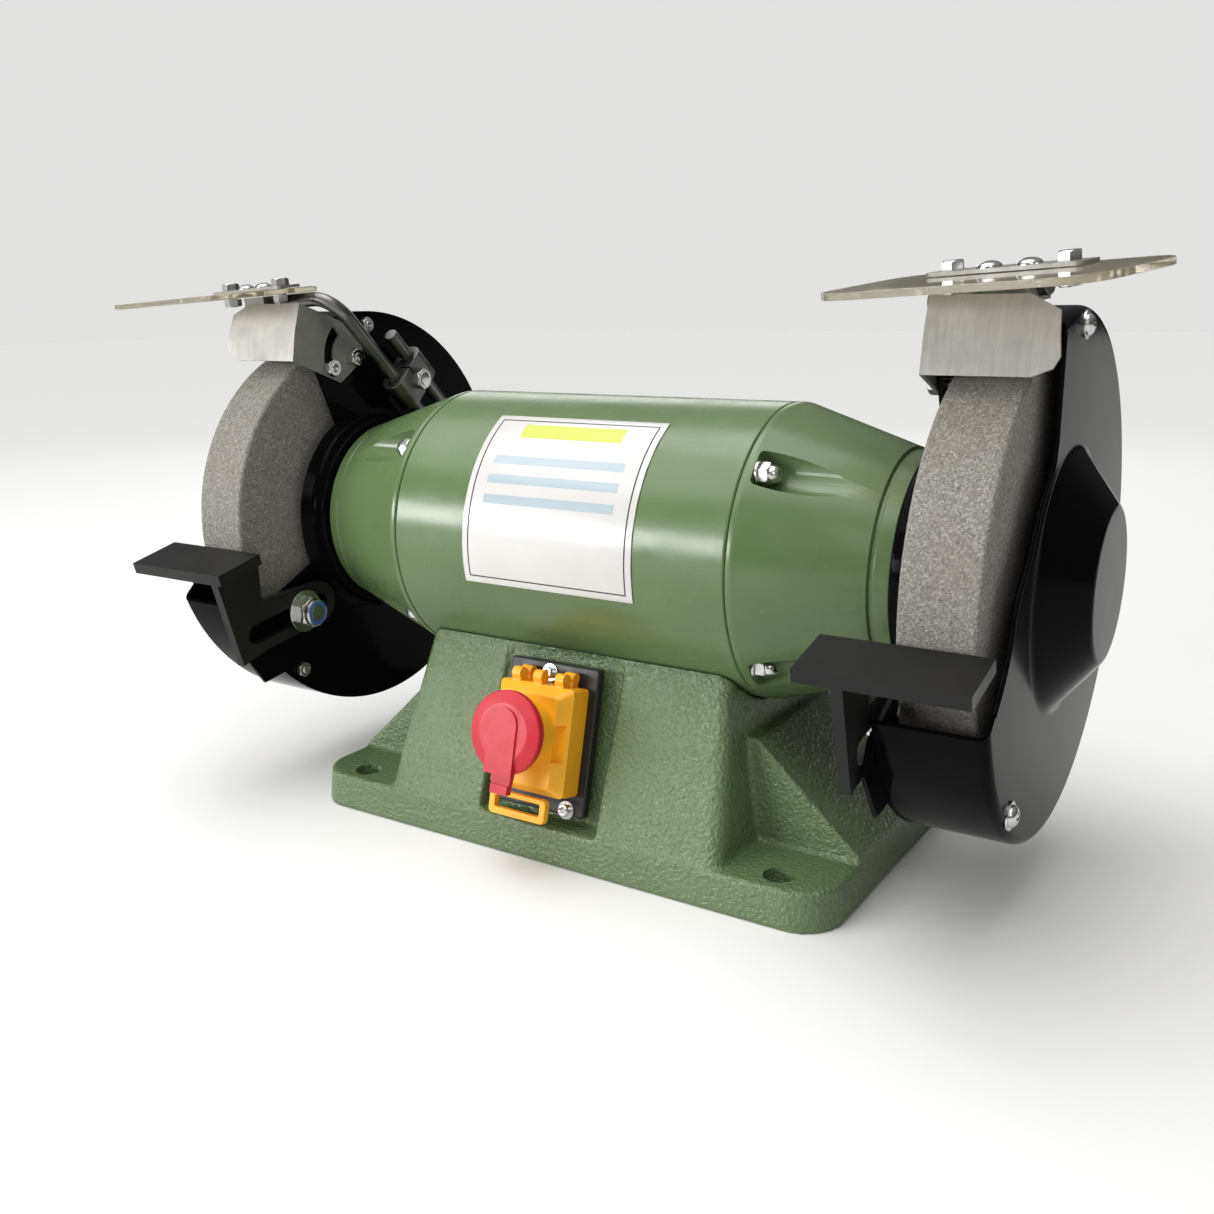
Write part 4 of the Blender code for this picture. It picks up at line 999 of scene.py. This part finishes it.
def local_box(u0, u1, n0, n1, v0, v1):
    """Box in the switch's own frame, in millimetres: across, out of the plate, up the plate."""
    return box(u0 * mm, u1 * mm, -n1 * mm, -n0 * mm, v0 * mm, v1 * mm)


def local_rod(n0, n1, r, u, v, sides=64):
    return rod(-n1 * mm, -n0 * mm, r * mm, sides, (u * mm, v * mm), "y")


def local_ring(half_u, half_v, radius, n):
    return [(u, -n * mm, v) for u, v in rounded_rect(half_u * mm, half_v * mm, radius * mm, 6)]


def switch():
    def add(name, bm, look, body, replaces, edge=0.5 * mm, segments=3):
        return piece(name, moved(bm, SWITCH), look, body, replaces, edge, segments)
    plate = loft([local_ring(27, 37.5, 2, 0), local_ring(27, 37.5, 2, 4.2), local_ring(26.2, 36.7, 1.5, 5)])
    add("switch_back_plate", cut(plate, local_box(-18, 18, -9, 3, -20.5, 20.5)), "moulding", "frame",
        ["switch_plate"], 0.2 * mm)
    body = loft([local_ring(22.3, 27, 2, 5.2), local_ring(22.3, 27, 2, 13)])
    body = join(body, loft([local_ring(21, 25.7, 2, 5.05), local_ring(21, 25.7, 2, 6)]))
    body = join(body, local_box(-17, 17, -30, 6, -19.5, 19.5))
    for u in (-13, 13):
        ear = prism(arc((-8.1 * mm, 31.5 * mm), 2.9 * mm, -40, 220, 12)
                    + [(-12.6 * mm, 24 * mm), (-5.4 * mm, 24 * mm)], "x", (u - 3) * mm, (u + 3) * mm)
        body = join(body, ear)
    for v in (11, -11):
        body = cut(body, local_box(-7.6, 7.6, 5, 20, v - 6.6, v + 6.6))
    add("switch_case", body, "yellow", "frame", ["switch_body"], 0.4 * mm)
    lid = loft([local_ring(22.3, 27, 2.5, 13.3), local_ring(22.3, 27, 2.5, 18),
                local_ring(17.5, 22.5, 2.5, 24.5)])
    hollow = loft([local_ring(17, 25, 1.5, 10), local_ring(15.5, 21, 1.5, 22.5)])
    lid = cut(lid, hollow)
    for side in (-1, 1):
        outline = [(side * u * mm, v * mm) for u, v in ((17.2, 9), (25, 10), (25, -10), (17.2, -9))]
        lid = cut(lid, prism(outline, "y", -30 * mm, -19.5 * mm))
    lid = join(lid, local_rod(22.6, 33, 17.5, 0, 3.9, 96))
    lid = cut(lid, local_rod(15, 40, 13, 0, 3.9, 96))
    for u in (-13, 0, 13):
        knuckle = prism(arc((-16 * mm, 30.5 * mm), 3.4 * mm, -50, 230, 12)
                        + [(-19 * mm, 25 * mm), (-13.5 * mm, 25 * mm)], "x", (u - 2.5) * mm, (u + 2.5) * mm)
        lid = join(lid, knuckle)
    add("lid_shell", lid, "yellow", "lid", ["switch_lid"], 0.45 * mm)
    disc = fillet([(-37.2 * mm, 0), (-37.2 * mm, 20.5 * mm), (-41.2 * mm, 20.5 * mm), (-43 * mm, 14 * mm),
                   (-43 * mm, 0)], (0.6 * mm, 1.2 * mm, 6 * mm), 5)
    disc = turned(disc, 96, (0, 3.9 * mm), "y")
    disc = join(disc, local_rod(20.5, 38, 11.5, 0, 3.9, 64))
    tab = loft([[(u * mm, -n * mm, v * mm) for u, v in ((-6.5, -13), (-5.2, -22), (5.2, -22), (6.5, -13))]
                for n in (37.4, 40.4)])
    disc = join(disc, tab, local_box(-5, 5, 37.4, 41.4, -26, -21.5))
    pad = [(u * mm, v * mm) for u, v in arc((0, 8), 8.2, 0, 180, 20) + [(-8.2, -16.2), (8.2, -16.2)]]
    disc = join(disc, prism(pad, "y", -43.9 * mm, -40.5 * mm))
    add("stop_disc", disc, "red", "paddle", ["stop_paddle"], 0.35 * mm)
    loop = rounded_rect(17 * mm, 6 * mm, 2.5 * mm, 6, (0, -34 * mm))
    bail = loft([[(u, -n * mm, v) for u, v in loop] for n in (20.5, 24.5)])
    inside = rounded_rect(13.5 * mm, 3 * mm, 1 * mm, 4, (0, -33.5 * mm))
    window = loft([[(u, -n * mm, v) for u, v in inside] for n in (15, 30)])
    add("bail_loop", cut(bail, window), "yellow", "bail", ["latch_bail"], 0.6 * mm)
    refine("start_button", "green_button", 0.5 * mm)
    refine("stop_button", "red", 0.5 * mm)
    screws = []
    for u, v in ((-2, 32), (17, -34.5)):
        at = SWITCH @ Vector((u * mm, -5 * mm, v * mm))
        out = SWITCH.to_3x3() @ Vector((0, -1, 0))
        screws.append(placed(washer(4.6 * mm, 1.6 * mm, 0.8 * mm), at, out))
        screws.append(placed(socket_screw(3.1 * mm, 3 * mm), at + out * 0.8 * mm, out))
    piece("switch_screws", merged(*screws), "zinc", "frame", (), 0.15 * mm)


# ---------------------------------------------------------------- floor, light and camera

def stage():
    bm = bmesh.new()
    half = 8.0
    corners = ((-half, -half, 0), (half, -half, 0), (half, half, 0), (-half, half, 0))
    bm.faces.new([bm.verts.new(p) for p in corners])
    mesh = bpy.data.meshes.new("floor")
    bm.to_mesh(mesh)
    bm.free()
    floor = bpy.data.objects.new("floor", mesh)
    floor.location.z = -0.2 * mm
    look = Look("pale_floor", (0.80, 0.80, 0.79), 0.9, specular=0.0)
    mesh.materials.append(look.material)
    bpy.context.scene.collection.objects.link(floor)


def area_light(name, at, target, width, height, power, colour=(1, 1, 1)):
    light = bpy.data.lights.new(name, "AREA")
    light.shape = "RECTANGLE"
    light.size, light.size_y = width, height
    light.energy = power
    light.color = colour
    obj = bpy.data.objects.new(name, light)
    obj.location = at
    obj.rotation_euler = (Vector(target) - Vector(at)).to_track_quat("-Z", "Y").to_euler()
    bpy.context.scene.collection.objects.link(obj)


def lights():
    """A white backdrop that the camera sees, a dim graded room for reflections, and soft boxes."""
    scene = bpy.context.scene
    scene.view_settings.view_transform = "Standard"
    world = bpy.data.worlds.new("studio")
    scene.world = world
    world.use_nodes = True
    tree = world.node_tree
    backdrop = tree.nodes["Background"]
    backdrop.inputs["Color"].default_value = (0.76, 0.76, 0.755, 1.0)
    backdrop.inputs["Strength"].default_value = 1.0
    room = tree.nodes.new("ShaderNodeBackground")
    room.inputs["Strength"].default_value = 0.42
    where = tree.nodes.new("ShaderNodeTexCoord")
    split = tree.nodes.new("ShaderNodeSeparateXYZ")
    grade = tree.nodes.new("ShaderNodeValToRGB")
    grade.color_ramp.elements[0].position = 0.02
    grade.color_ramp.elements[0].color = (0.05, 0.052, 0.055, 1.0)
    grade.color_ramp.elements[1].position = 0.95
    grade.color_ramp.elements[1].color = (1.0, 0.99, 0.97, 1.0)
    rays = tree.nodes.new("ShaderNodeLightPath")
    mix = tree.nodes.new("ShaderNodeMixShader")
    tree.links.new(where.outputs["Generated"], split.inputs["Vector"])
    tree.links.new(split.outputs["Z"], grade.inputs["Fac"])
    tree.links.new(grade.outputs["Color"], room.inputs["Color"])
    tree.links.new(rays.outputs["Is Camera Ray"], mix.inputs["Fac"])
    tree.links.new(room.outputs["Background"], mix.inputs[1])
    tree.links.new(backdrop.outputs["Background"], mix.inputs[2])
    tree.links.new(mix.outputs["Shader"], tree.nodes["World Output"].inputs["Surface"])
    aim = (0, 0, 0.14)
    area_light("window", (-1.05, -1.45, 0.46), aim, 1.3, 0.36, 22)
    area_light("top", (-0.2, -0.2, 1.5), aim, 1.2, 0.5, 4)
    area_light("fill", (0.9, -1.3, 0.9), aim, 0.6, 0.6, 3.5, (1.0, 0.97, 0.93))
    area_light("back", (-0.9, 1.4, 0.8), aim, 1.0, 0.5, 3)
    sky = bpy.data.lights.new("sky", "SUN")
    sky.energy = 2.2
    sky.angle = 1.2
    above = bpy.data.objects.new("sky", sky)
    above.rotation_euler = (math.radians(12), math.radians(-14), 0)
    scene.collection.objects.link(above)


CAMERA_AT = (0.341122, -0.544733, 0.277953)
CAMERA_PAN, CAMERA_TILT, CAMERA_ROLL = 0.575, 0.25, -0.016


def camera():
    pan, tilt, roll = CAMERA_PAN, CAMERA_TILT, CAMERA_ROLL
    ahead = Vector((-math.sin(pan) * math.cos(tilt), math.cos(pan) * math.cos(tilt), -math.sin(tilt)))
    right = Vector((math.cos(pan), math.sin(pan), 0))
    up = right.cross(ahead)
    right, up = (math.cos(roll) * right + math.sin(roll) * up, math.cos(roll) * up - math.sin(roll) * right)
    data = bpy.data.cameras.new("camera")
    data.lens = 36.26
    data.sensor_width = 36.0
    data.clip_start = 0.01
    obj = bpy.data.objects.new("camera", data)
    obj.matrix_world = Matrix((right, up, -ahead)).transposed().to_4x4()
    obj.matrix_world = Matrix.Translation(CAMERA_AT) @ obj.matrix_world
    bpy.context.scene.collection.objects.link(obj)
    bpy.context.scene.camera = obj


def build():
    base_casting()
    base_fittings()
    motor()
    tie_bolts()
    label()
    for side, word in SIDES:
        end_bell(side, word)
        wheel(side, word)
        inner_guard(side, word)
        outer_cover(side, word)
        tool_rest(side, word)
        deflector(side, word)
        eye_shield(side, word)
        rods(side, word)
    switch()
    stage()
    lights()
    camera()


build()
